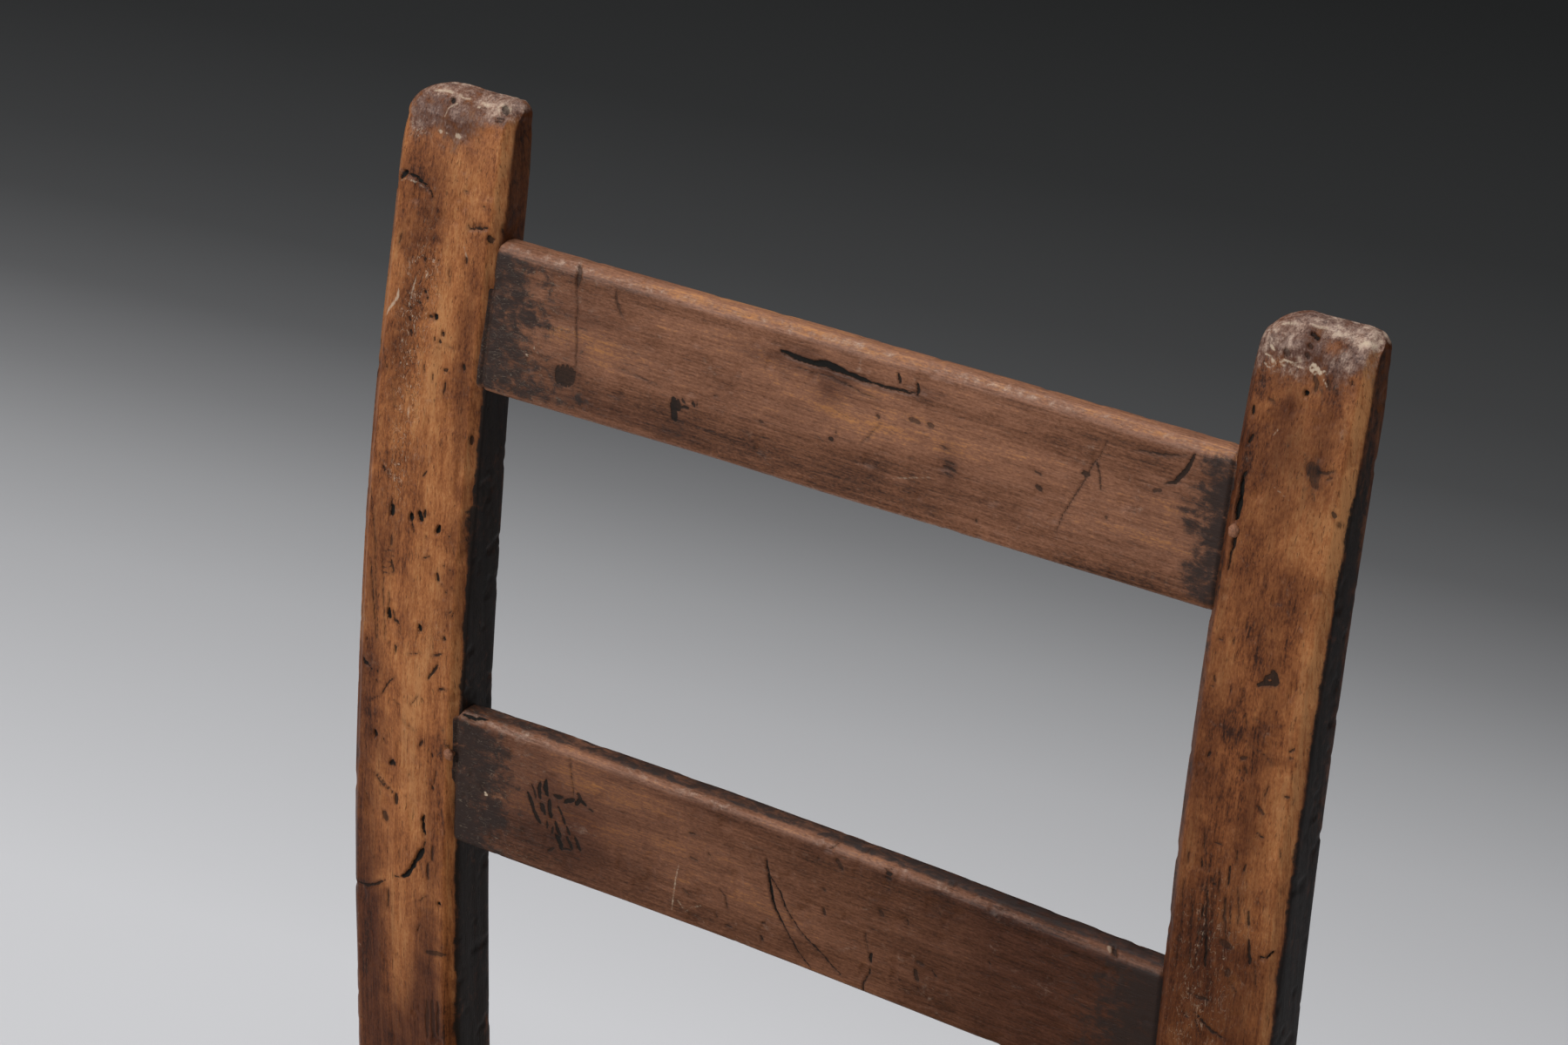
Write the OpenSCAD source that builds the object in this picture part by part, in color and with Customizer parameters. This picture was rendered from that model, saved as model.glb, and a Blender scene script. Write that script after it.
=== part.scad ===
// A rustic ladder-back side chair with a woven cord seat.
// Sawn back posts bend gently rearwards and hold two flat slats. Square front legs,
// flat stretchers and round-edged seat rails are tenoned together, and the seat is
// woven round the rails in four fields that meet on diagonal seams over a stuffing.
// X is the sitter's left to right as seen from the front, Y points to the back, Z up.
// The origin is on the floor at the middle of the chair's footprint.

/* [Overall] */
// Height of the back posts
height = 850; // [800:1:900]
// Height of the woven seat's top
seat_h = 440; // [420:1:455]
// Width over the front legs
front_w = 424; // [400:1:450]
// From the front of the front legs to the front of the back posts
seat_depth = 360; // [345:1:400]

/* [Back posts] */
// Clear width between the posts
post_gap = 264; // [240:1:280]
// Width of the post on the left
left_post_w = 44; // [40:0.5:48]
// Width of the post on the right
right_post_w = 39.5; // [37:0.5:46]
// Thickness of the posts below their bend
post_d = 24.5; // [23.5:0.5:30]
// Height at which the front face starts to bend back
bend_z = 532; // [500:1:560]
// Radius of the front face's bend
bend_r = 1216; // [1000:1:1500]
// Height at which the rear face starts to bend back
rear_bend_z = 520; // [490:1:550]
// Radius of the rear face's bend, larger than the front's so that the post thins upwards
rear_bend_r = 1631; // [1500:1:1900]
// Chamfer along the posts' four edges
post_chamfer = 3.5; // [2:0.5:5]
// Rounding of the front of a post's top
top_front_round = 11; // [6:1:12]
// Rounding of the rear of a post's top
top_rear_round = 4; // [2:1:5]
// Rounding of the left corner of a post's top, seen from the front
top_left_round = 13; // [6:1:16]
// Rounding of the right corner of a post's top
top_right_round = 6; // [4:1:12]
// How much lower the post on the left ends
left_post_drop = 2.6; // [0:0.2:6]

/* [Slats] */
// From the top of the posts down to the middle of the upper slat
upper_slat_drop = 67.2; // [60:0.1:85]
// Depth of the upper slat, edge to edge
upper_slat_h = 50; // [40:1:60]
// How many degrees the upper slat rises to the right
upper_slat_tilt = 0.6; // [-1:0.1:1.5]
// How far the middle of the upper slat is bowed back
upper_slat_bow = 0.8; // [0.5:0.1:4]
// From the middle of the upper slat down to the middle of the lower slat
slat_spacing = 162.4; // [142:0.1:182]
// Depth of the lower slat, edge to edge
lower_slat_h = 49; // [40:1:60]
// How many degrees the lower slat rises to the right
lower_slat_tilt = -0.5; // [-1.5:0.1:1]
// How far the middle of the lower slat is bowed back
lower_slat_bow = 3; // [0.5:0.1:6]
// Thickness of both slats
slat_t = 12; // [8:0.5:13]
// Rounding of the slats' top edges
slat_top_round = 4.5; // [2:0.5:5]
// Rounding of the slats' bottom edges
slat_low_round = 2.5; // [1:0.5:4]
// How far the slats' faces lie behind the posts' faces
slat_recess = 2; // [1:0.5:4]
// How far the slats run into the posts
slat_tenon = 21; // [15:1:26]

/* [Front legs] */
// Width and thickness of the front legs
leg_w = 38; // [34:1:44]
// How far the front legs stand above the woven seat
leg_rise = 5; // [2:1:12]
// Chamfer along the front legs' edges
leg_chamfer = 3; // [1:0.5:5]
// Rounding of the front legs' tops
leg_top_round = 6; // [3:1:8]

/* [Seat rails] */
// Width of the seat rails in plan
rail_w = 26; // [24:1:28]
// Height of the seat rails
rail_h = 22; // [20:1:24]
// From a leg's or post's outer face in to the edge of the front and side rails
rail_inset = 6.5; // [5:0.5:8]
// From the posts' rear faces in to the edge of the rear rail
rear_rail_inset = 3; // [2:0.5:5]
// Width of the seat rails' tenons, which lie under the rails' round edges
rail_tenon_w = 12; // [9:1:14]
// Height of the seat rails' tenons, which cross one above the other in the legs
rail_tenon_h = 8.5; // [7:0.5:9]
// Length of the seat rails' tenons
rail_tenon_l = 18; // [12:1:20]

/* [Stretchers] */
// Height of the lower front stretcher
front_low_z = 175; // [150:1:200]
// Height of the upper front stretcher
front_high_z = 300; // [275:1:325]
// Height of the lower stretcher on each side
side_low_z = 125; // [100:1:150]
// Height of the upper stretcher on each side
side_high_z = 250; // [225:1:270]
// Height of the rear stretcher
rear_stretcher_z = 205; // [160:1:225]
// Height of a stretcher's section
stretcher_h = 27; // [20:1:32]
// Thickness of a stretcher's section
stretcher_t = 15; // [12:1:18]
// Chamfer along the stretchers' edges
stretcher_chamfer = 2.5; // [1:0.5:4]
// Height of the stretchers' tenons
stretcher_tenon_h = 19; // [12:1:19]
// Thickness of the stretchers' tenons
stretcher_tenon_t = 9; // [6:0.5:11]
// Length of the stretchers' tenons
stretcher_tenon_l = 18; // [12:1:20]

/* [Woven seat] */
// Thickness of the seat cord
cord_d = 5.2; // [4:0.1:6.5]
// Distance from one cord to the next
cord_pitch = 5; // [3.8:0.1:6.2]
// Gap between the weave and what it wraps or meets
weave_gap = 0.3; // [0.2:0.1:0.6]

/* [Nails] */
// Diameter of a slat nail's shank
nail_d = 2.2; // [1.5:0.1:3]
// Diameter of a slat nail's head
nail_head_d = 4; // [3.2:0.1:5]
// Thickness of a slat nail's head
nail_head_h = 1; // [0.6:0.1:1.5]
// Length of a slat nail under its head
nail_l = 15; // [10:1:16]
// From the left post's inner face to its nail
left_nail_inset = 2.5; // [2.5:0.1:6]
// From the right post's inner face to its nail
right_nail_inset = 5; // [2.5:0.1:8]
// Height of the right post's nail above the middle of the upper slat
upper_nail_rise = 3.3; // [0:0.1:10]
// Height of the left post's nail above the middle of the lower slat
lower_nail_rise = 9.5; // [0:0.5:12]

/* [Fits] */
// Clearance round a tenon in its mortise, and past its end
tenon_fit = 0.1; // [0.05:0.05:0.3]

/* [Hidden] */

$fn = 96;
// Facets of the long shallow bends in the preview
bend_fn = 1440;
// Length that a cutting or trimming shape runs past what it cuts
past = 20;
// Bite of the rear bend where it starts, so that the two rear faces cross cleanly
rear_bite = 0.3;
// Overshoot of a rounding past the faces that it joins
round_over = 0.2;
// How many degrees below the rear bend's start the cutter of its chamfers begins
edge_dip = 3;

LEFT = -1;
RIGHT = 1;

wood = [0.55, 0.33, 0.18];
dark_wood = [0.42, 0.26, 0.16];
iron = [0.30, 0.22, 0.20];
cord = [0.76, 0.62, 0.40];
straw = [0.70, 0.58, 0.38];

// How far a face that starts to bend at height start with radius r has gone back at z
function bend_y(z, start, r) =
    z <= start ? 0 : r - sqrt(r * r - (z - start) * (z - start));
// Lean of the posts' front face at height z
function lean(z) = z <= bend_z ? 0 : asin((z - bend_z) / bend_r);

top_back = post_d - rear_bite + bend_y(height - top_rear_round, rear_bend_z, rear_bend_r);
y_front = -(seat_depth + top_back) / 2;
y_post = y_front + seat_depth;
y_leg = y_front + leg_w;
leg_in = front_w / 2 - leg_w;

upper_slat_z = height - upper_slat_drop;
lower_slat_z = upper_slat_z - slat_spacing;
front_stretcher_z = [front_low_z, front_high_z];
side_stretcher_z = [side_low_z, side_high_z];

rail_z = seat_h - cord_d - weave_gap - rail_h / 2;
// The rails' outer edges are half round, and their tenons are centred on the same axis
rail_r = rail_h / 2;
front_rail_y = y_front + rail_inset;
rear_rail_y = y_post + post_d - rear_rail_inset;

function post_w(side) = side == LEFT ? left_post_w : right_post_w;
function post_top(side) = side == LEFT ? height - left_post_drop : height;
function post_out(side) = post_gap / 2 + post_w(side);
// Splay of a side rail or stretcher in plan
function splay(side) = atan((front_w / 2 - post_out(side)) / (y_post - y_front));

// A rectangle from x = -w/2 and y = 0 with its four corners cut off
module chamfered(w, d, c) {
    polygon(chamfered_points(w, d, c));
}

function chamfered_points(w, d, c) = [
    [-w / 2 + c, 0], [w / 2 - c, 0], [w / 2, c], [w / 2, d - c],
    [w / 2 - c, d], [-w / 2 + c, d], [-w / 2, d - c], [-w / 2, c]
];

// What lies outside a rounding of radius r in the corner at the origin, towards -X and -Y
module corner_waste(r) {
    difference() {
        translate([-r + round_over, -r + round_over])
            square(r + past);
        translate([-r + round_over, -r + round_over])
            circle(r);
    }
}

// Cuts the top of a bar flat at z = 0 and rounds its edges.
// The bar spans x from -w/2 to w/2 and y from 0 to d.
module top_waste(w, d, left_r, right_r, front_r, rear_r) {
    translate([-w / 2 - past, -past, 0])
        cube([w + 2 * past, d + 2 * past, 3 * past]);
    translate([w / 2, d + past, 0])
        rotate([90, 0, 0])
            linear_extrude(d + 2 * past)
                corner_waste(right_r);
    translate([-w / 2, -past, 0])
        rotate([90, 0, 180])
            linear_extrude(d + 2 * past)
                corner_waste(left_r);
    translate([-w / 2 - past, d, 0])
        rotate([90, 0, 90])
            linear_extrude(w + 2 * past)
                corner_waste(rear_r);
    translate([w / 2 + past, 0, 0])
        rotate([90, 0, -90])
            linear_extrude(w + 2 * past)
                corner_waste(front_r);
}

// Turns a profile drawn as [distance from the bend's axis, x] about that axis, upwards
module bent(angle, r, y, z) {
    translate([0, y + r, z])
        rotate([90, 0, -90])
            rotate_extrude(angle = angle, $fn = bend_fn)
                children();
}

// The bent plank of a post, before its joints are cut, with its front face on y = 0
module post_blank(w) {
    bend_angle = asin((height + past - bend_z) / bend_r);
    difference() {
        union() {
            linear_extrude(bend_z)
                chamfered(w, post_d, post_chamfer);
            bent(bend_angle, bend_r, 0, bend_z)
                polygon([for (p = chamfered_points(w, post_d, post_chamfer)) [bend_r - p.y, p.x]]);
        }
        translate([-w / 2 - past, post_d - rear_bite + rear_bend_r, rear_bend_z])
            rotate([0, 90, 0])
                cylinder(h = w + 2 * past, r = rear_bend_r, $fn = bend_fn);
        for (side = [LEFT, RIGHT])
            rear_edge_waste(side, w);
    }
}

// The chamfer along a rear edge of the bend
module rear_edge_waste(side, w) {
    reach = asin((height + past - rear_bend_z) / rear_bend_r);
    x = side * w / 2;
    r = rear_bend_r;
    c = post_chamfer;
    translate([0, post_d - rear_bite + r, rear_bend_z])
        rotate([90, 0, -90])
            rotate([0, 0, -edge_dip])
                rotate_extrude(angle = reach + edge_dip, $fn = bend_fn)
                    polygon([
                        [r + c + 1, -x - side], [r - 1, -x + side * (c + 1)], [r - 1, -x - side]
                    ]);
}

module post(side) {
    w = post_w(side);
    top = post_top(side);
    top_lean = lean(top);
    // The rounded front top is lower than the corner of its square
    top_rise = top_front_round * (cos(top_lean) + sin(top_lean) - 1);
    translate([side * (post_gap / 2 + w / 2), y_post, 0])
        difference() {
            post_blank(w);
            translate([0, bend_y(top, bend_z, bend_r), top + top_rise])
                rotate([-top_lean, 0, 0])
                    top_waste(w, post_d_at(top), top_left_round, top_right_round,
                        top_front_round, top_rear_round);
        }
}

// Thickness of a post at height z above its bend, square to its front face
function post_d_at(z) =
    (post_d - rear_bite + bend_y(z, rear_bend_z, rear_bend_r)
        - bend_y(z, bend_z, bend_r)) * cos(lean(z));

module back_post(side) {
    difference() {
        post(side);
        slat(upper_slat_z, upper_slat_h, upper_slat_tilt, upper_slat_bow, tenon_fit);
        slat(lower_slat_z, lower_slat_h, lower_slat_tilt, lower_slat_bow, tenon_fit);
        nail(side, tenon_fit);
        cross_tenon(rear_rail_y - rail_r, rail_z, post_gap, rail_tenon_w, rail_tenon_h,
            rail_tenon_l, 1, tenon_fit);
        cross_tenon(y_post + post_d / 2, rear_stretcher_z, post_gap, stretcher_tenon_t,
            stretcher_tenon_h, stretcher_tenon_l, 0, tenon_fit);
        side_tenons(side, tenon_fit);
    }
}

module back_post_left() {
    color(wood) back_post(LEFT);
}

module back_post_right() {
    color(wood) back_post(RIGHT);
}

module front_leg(side) {
    top = seat_h + leg_rise;
    r = leg_top_round;
    difference() {
        translate([side * (front_w / 2 - leg_w / 2), y_front, 0])
            difference() {
                linear_extrude(top + 1)
                    chamfered(leg_w, leg_w, leg_chamfer);
                translate([0, 0, top])
                    top_waste(leg_w, leg_w, r, r, r, r);
            }
        cross_tenon(front_rail_y + rail_r, rail_z, 2 * leg_in, rail_tenon_w, rail_tenon_h,
            rail_tenon_l, 1, tenon_fit);
        for (z = front_stretcher_z)
            cross_tenon(y_front + leg_w / 2, z, 2 * leg_in, stretcher_tenon_t,
                stretcher_tenon_h, stretcher_tenon_l, 0, tenon_fit);
        side_tenons(side, tenon_fit);
    }
}

module front_leg_left() {
    color(wood) front_leg(LEFT);
}

module front_leg_right() {
    color(wood) front_leg(RIGHT);
}

// A slat's section: y is its thickness from the front face, z its depth about the middle
module slat_section(h, grow) {
    t = slat_t / 2 + grow;
    top_r = slat_top_round;
    low_r = slat_low_round;
    translate([slat_t / 2, 0]) {
        translate([-t, -h / 2 - grow + low_r])
            square([2 * t, h + 2 * grow - low_r - top_r]);
        translate([-t + top_r, h / 2 + grow - 2 * top_r])
            square([2 * (t - top_r), 2 * top_r]);
        translate([-t + low_r, -h / 2 - grow])
            square([2 * (t - low_r), 2 * low_r]);
        for (s = [-1, 1]) {
            translate([s * (t - top_r), h / 2 + grow - top_r])
                circle(top_r);
            translate([s * (t - low_r), -h / 2 - grow + low_r])
                circle(low_r);
        }
    }
}

// A bowed slat with both its tenons, as one bent board, or its mortises where grow isn't 0
module slat(z, h, tilt, bow, grow = 0) {
    half = post_gap / 2 + slat_tenon + grow;
    bow_r = (post_gap * post_gap / 4 + bow * bow) / (2 * bow);
    half_angle = asin(half / bow_r);
    translate([0, y_post + bend_y(z, bend_z, bend_r), z])
        rotate([-lean(z), 0, 0])
            rotate([0, -tilt, 0])
                translate([0, slat_recess + bow - bow_r, 0])
                    rotate([0, 0, 90 - half_angle])
                        rotate_extrude(angle = 2 * half_angle, $fn = bend_fn)
                            translate([bow_r, 0])
                                slat_section(h, grow);
}

module upper_slat() {
    color(wood)
        difference() {
            slat(upper_slat_z, upper_slat_h, upper_slat_tilt, upper_slat_bow);
            nail(RIGHT, tenon_fit);
        }
}

module lower_slat() {
    color(dark_wood)
        difference() {
            slat(lower_slat_z, lower_slat_h, lower_slat_tilt, lower_slat_bow);
            nail(LEFT, tenon_fit);
        }
}

// The nail that holds one slat's tenon: the lower slat's in the left post and the
// upper slat's in the right one, or its hole where grow isn't 0
module nail(side, grow = 0) {
    z = side == LEFT ? lower_slat_z + lower_nail_rise : upper_slat_z + upper_nail_rise;
    inset = side == LEFT ? left_nail_inset : right_nail_inset;
    translate([side * (post_gap / 2 + inset), y_post + bend_y(z, bend_z, bend_r), z])
        rotate([-90 - lean(z), 0, 0]) {
            translate([0, 0, grow > 0 ? -past : -nail_head_h / 2])
                cylinder(h = nail_l + grow + (grow > 0 ? past : nail_head_h / 2), d = nail_d + 2 * grow);
            if (grow == 0)
                translate([0, 0, -nail_head_h])
                    cylinder(h = nail_head_h, d1 = nail_head_d * 0.7, d2 = nail_head_d);
        }
}

module slat_nails() {
    color(iron) {
        nail(LEFT);
        nail(RIGHT);
    }
}

// The bar of tenon section that runs through a crosswise rail or stretcher into both
// posts. place is 1 for the upper half of a rail, -1 for the lower and 0 for the middle.
module cross_tenon(y, z, gap, w, h, l, place, grow = 0) {
    length = gap + 2 * l + 2 * grow;
    lift = place * (h + 1) / 2;
    translate([-length / 2, y - w / 2 - grow, z + lift - h / 2 - grow])
        cube([length, w + 2 * grow, h + 2 * grow]);
}

// The section of a rail, with its outer edge rounded, towards +X from x = 0
module rail_section() {
    translate([rail_r, 0])
        circle(rail_r);
    translate([rail_r, -rail_r])
        square([rail_w - rail_r, rail_h]);
}

// A rail across the chair whose round edge is at y, facing -Y where face is -1 or +Y at 1
module cross_rail(y, gap, face) {
    translate([face * gap / 2, y, rail_z])
        rotate([90, 0, face * -90])
            linear_extrude(gap)
                rail_section();
    cross_tenon(y - face * rail_r, rail_z, gap, rail_tenon_w, rail_tenon_h, rail_tenon_l, 1);
}

module seat_rail_front() {
    color(wood) cross_rail(front_rail_y, 2 * leg_in, -1);
}

module seat_rail_rear() {
    color(wood) cross_rail(rear_rail_y, post_gap, 1);
}

// Places a shape that runs along +Y from the front of the chair beside a side's outer
// faces, turned in by the splay, with +X pointing inwards
module along_side(side) {
    translate([side * front_w / 2, y_front, 0])
        rotate([0, 0, side * splay(side)])
            mirror([side == RIGHT ? 1 : 0, 0, 0])
                children();
}

// The space between the front legs' rear faces and the posts' front faces, or deeper
module side_span(deeper = 0) {
    reach = front_w;
    translate([-reach, y_leg - deeper, 0])
        cube([2 * reach, y_post - y_leg + 2 * deeper, seat_h]);
}

module side_tenon(side, mid, z, w, h, l, place, grow) {
    lift = place * (h + 1) / 2;
    intersection() {
        along_side(side)
            translate([mid - w / 2 - grow, 0, z + lift - h / 2 - grow])
                cube([w + 2 * grow, seat_depth + 2 * past, h + 2 * grow]);
        side_span(l + grow);
    }
}

// All that a side's rail and stretchers put into the leg and the post
module side_tenons(side, grow) {
    side_tenon(side, rail_inset + rail_r, rail_z, rail_tenon_w, rail_tenon_h,
        rail_tenon_l, -1, grow);
    for (z = side_stretcher_z)
        side_tenon(side, leg_w / 2, z, stretcher_tenon_t, stretcher_tenon_h,
            stretcher_tenon_l, 0, grow);
}

module side_rail(side) {
    intersection() {
        along_side(side)
            translate([rail_inset, seat_depth + past, rail_z])
                rotate([90, 0, 0])
                    linear_extrude(seat_depth + 2 * past)
                        rail_section();
        side_span();
    }
    side_tenon(side, rail_inset + rail_r, rail_z, rail_tenon_w, rail_tenon_h,
        rail_tenon_l, -1, 0);
}

module seat_rail_left() {
    color(wood) side_rail(LEFT);
}

module seat_rail_right() {
    color(wood) side_rail(RIGHT);
}

module stretcher_section() {
    translate([0, -stretcher_h / 2])
        chamfered(stretcher_t, stretcher_h, stretcher_chamfer);
}

module cross_stretcher(y, z, gap) {
    translate([-gap / 2, y, z])
        rotate([90, 0, 90])
            linear_extrude(gap)
                stretcher_section();
    cross_tenon(y, z, gap, stretcher_tenon_t, stretcher_tenon_h, stretcher_tenon_l, 0);
}

module side_stretcher(side, z) {
    intersection() {
        along_side(side)
            translate([leg_w / 2, seat_depth + past, z])
                rotate([90, 0, 0])
                    linear_extrude(seat_depth + 2 * past)
                        stretcher_section();
        side_span();
    }
    side_tenon(side, leg_w / 2, z, stretcher_tenon_t, stretcher_tenon_h,
        stretcher_tenon_l, 0, 0);
}

module stretcher_front_lower() {
    color(wood) cross_stretcher(y_front + leg_w / 2, front_stretcher_z[0], 2 * leg_in);
}

module stretcher_front_upper() {
    color(wood) cross_stretcher(y_front + leg_w / 2, front_stretcher_z[1], 2 * leg_in);
}

module stretcher_rear() {
    color(wood) cross_stretcher(y_post + post_d / 2, rear_stretcher_z, post_gap);
}

module stretcher_left_lower() {
    color(wood) side_stretcher(LEFT, side_stretcher_z[0]);
}

module stretcher_left_upper() {
    color(wood) side_stretcher(LEFT, side_stretcher_z[1]);
}

module stretcher_right_lower() {
    color(wood) side_stretcher(RIGHT, side_stretcher_z[0]);
}

module stretcher_right_upper() {
    color(wood) side_stretcher(RIGHT, side_stretcher_z[1]);
}

// The seams start at the inner corners of the front legs and posts and run at 45
// degrees, or flatter in a shallow seat, to the two ends of a short middle seam
seam_front = [leg_in - weave_gap, y_leg + weave_gap];
seam_rear = [post_gap / 2 - weave_gap, y_post - weave_gap];
seam_share = min(1, (seam_rear.y - seam_front.y) / (seam_front.x + seam_rear.x));
apex_front = seam_front.y + seam_front.x * seam_share;
apex_rear = seam_rear.y - seam_rear.x * seam_share;

// Ridges of side-by-side cords along x from 0 to length, with their middles on y = 0
module cord_ridges(length) {
    count = floor(length / cord_pitch);
    start = (length - (count - 1) * cord_pitch) / 2;
    translate([0, -cord_d / 4])
        square([length, cord_d / 2]);
    for (i = [0 : count - 1])
        translate([start + i * cord_pitch, 0])
            circle(d = cord_d, $fn = 24);
}

// Cords laid side by side over a rail whose outer edge lies on x = 0 and which runs
// along y: each comes in over the top, round the edge and back in underneath
module cord_hairpin(length, inward) {
    r = rail_r + weave_gap + cord_d / 2;
    for (s = [-1, 1])
        translate([rail_r, 0, s * r])
            rotate([90, 0, 90])
                linear_extrude(inward)
                    cord_ridges(length);
    translate([rail_r, 0, 0])
        rotate([-90, 0, 0])
            rotate([0, 0, 90])
                rotate_extrude(angle = 180)
                    translate([r, 0])
                        rotate(90)
                            mirror([0, 1])
                                cord_ridges(length);
}

// Keeps what lies over a plan outline
module weave_field(outline) {
    intersection() {
        translate([0, 0, rail_z])
            children();
        linear_extrude(seat_h + leg_rise)
            polygon(outline);
    }
}

module weave_front() {
    length = 2 * seam_front.x;
    color(cord)
        weave_field([
            [-seam_front.x, y_front - past], [seam_front.x, y_front - past], seam_front,
            [0, apex_front], [-seam_front.x, seam_front.y]
        ])
            translate([seam_front.x, front_rail_y, 0])
                rotate([0, 0, 90])
                    cord_hairpin(length, seat_depth);
}

module weave_rear() {
    length = 2 * seam_rear.x;
    color(cord)
        weave_field([
            [-seam_rear.x, y_post + post_d + past], [-seam_rear.x, seam_rear.y],
            [0, apex_rear], seam_rear, [seam_rear.x, y_post + post_d + past]
        ])
            translate([-seam_rear.x, rear_rail_y, 0])
                rotate([0, 0, -90])
                    cord_hairpin(length, seat_depth);
}

module weave_side(side) {
    color(cord)
        weave_field([
            [side * front_w, seam_front.y], [side * seam_front.x, seam_front.y],
            [0, apex_front], [0, apex_rear],
            [side * seam_rear.x, seam_rear.y], [side * front_w, seam_rear.y]
        ])
            along_side(side)
                translate([rail_inset, 0, 0])
                    cord_hairpin(seat_depth + past, front_w);
}

module weave_left() {
    weave_side(LEFT);
}

module weave_right() {
    weave_side(RIGHT);
}

// The stuffing packed between the two layers of the weave, inside the rails
module seat_stuffing() {
    edge = rail_inset + rail_w + weave_gap;
    y0 = front_rail_y + rail_w + weave_gap;
    y1 = rear_rail_y - rail_w - weave_gap;
    color(straw)
        translate([0, 0, rail_z - rail_r])
            intersection() {
                translate([-front_w / 2, y0, 0])
                    cube([front_w, y1 - y0, rail_h]);
                inward_of(LEFT, edge);
                inward_of(RIGHT, edge);
            }
}

// Everything further in than a distance from a side's outer faces
module inward_of(side, distance) {
    along_side(side)
        translate([distance, -past, -past])
            cube([2 * front_w, seat_depth + 3 * past, rail_h + 2 * past]);
}

back_post_left();
back_post_right();
front_leg_left();
front_leg_right();
upper_slat();
lower_slat();
slat_nails();
seat_rail_front();
seat_rail_rear();
seat_rail_left();
seat_rail_right();
stretcher_front_lower();
stretcher_front_upper();
stretcher_rear();
stretcher_left_lower();
stretcher_left_upper();
stretcher_right_lower();
stretcher_right_upper();
seat_stuffing();
weave_front();
weave_rear();
weave_left();
weave_right();
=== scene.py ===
"""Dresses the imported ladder-back chair: worn posts and slats, woven cord seat, soft studio."""

import math
from types import SimpleNamespace

import bpy
import numpy as np
from bpy.props import FloatProperty, FloatVectorProperty, IntProperty, PointerProperty
from mathutils import Matrix, Vector


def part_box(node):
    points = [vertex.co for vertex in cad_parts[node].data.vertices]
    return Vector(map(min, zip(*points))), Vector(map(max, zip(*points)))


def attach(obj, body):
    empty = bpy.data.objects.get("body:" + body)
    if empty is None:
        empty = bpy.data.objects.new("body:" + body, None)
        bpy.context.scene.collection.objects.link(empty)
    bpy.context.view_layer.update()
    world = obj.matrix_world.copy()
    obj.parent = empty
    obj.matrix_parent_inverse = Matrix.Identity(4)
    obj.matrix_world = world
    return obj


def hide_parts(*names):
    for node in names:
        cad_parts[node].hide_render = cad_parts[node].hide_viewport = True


bl_info = {
    "name": "Rustic ladder-back chair",
    "version": (1, 0, 0),
    "blender": (4, 5, 0),
    "location": "3D View > Sidebar > Chair",
    "description": "Makes the worn wood, the nails and the woven seat of a ladder-back chair",
    "category": "Add Mesh",
}

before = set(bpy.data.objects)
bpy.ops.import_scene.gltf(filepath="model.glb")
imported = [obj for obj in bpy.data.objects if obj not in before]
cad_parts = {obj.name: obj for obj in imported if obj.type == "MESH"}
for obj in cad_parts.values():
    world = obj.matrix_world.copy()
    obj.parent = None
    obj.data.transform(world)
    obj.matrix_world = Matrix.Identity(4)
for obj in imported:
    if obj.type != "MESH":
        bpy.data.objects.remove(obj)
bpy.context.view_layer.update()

LEFT = -1
RIGHT = 1
SIDE_NAMES = {LEFT: "left", RIGHT: "right"}


def box_mm(node):
    """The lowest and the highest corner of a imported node, in millimetres."""
    return [np.array(corner) * 1000 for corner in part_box(node)]


# Where the back posts and the front legs stand
POST_BOX = {LEFT: box_mm("back_post_left"), RIGHT: box_mm("back_post_right")}
LEG_BOX = {LEFT: box_mm("front_leg_left"), RIGHT: box_mm("front_leg_right")}

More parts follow.
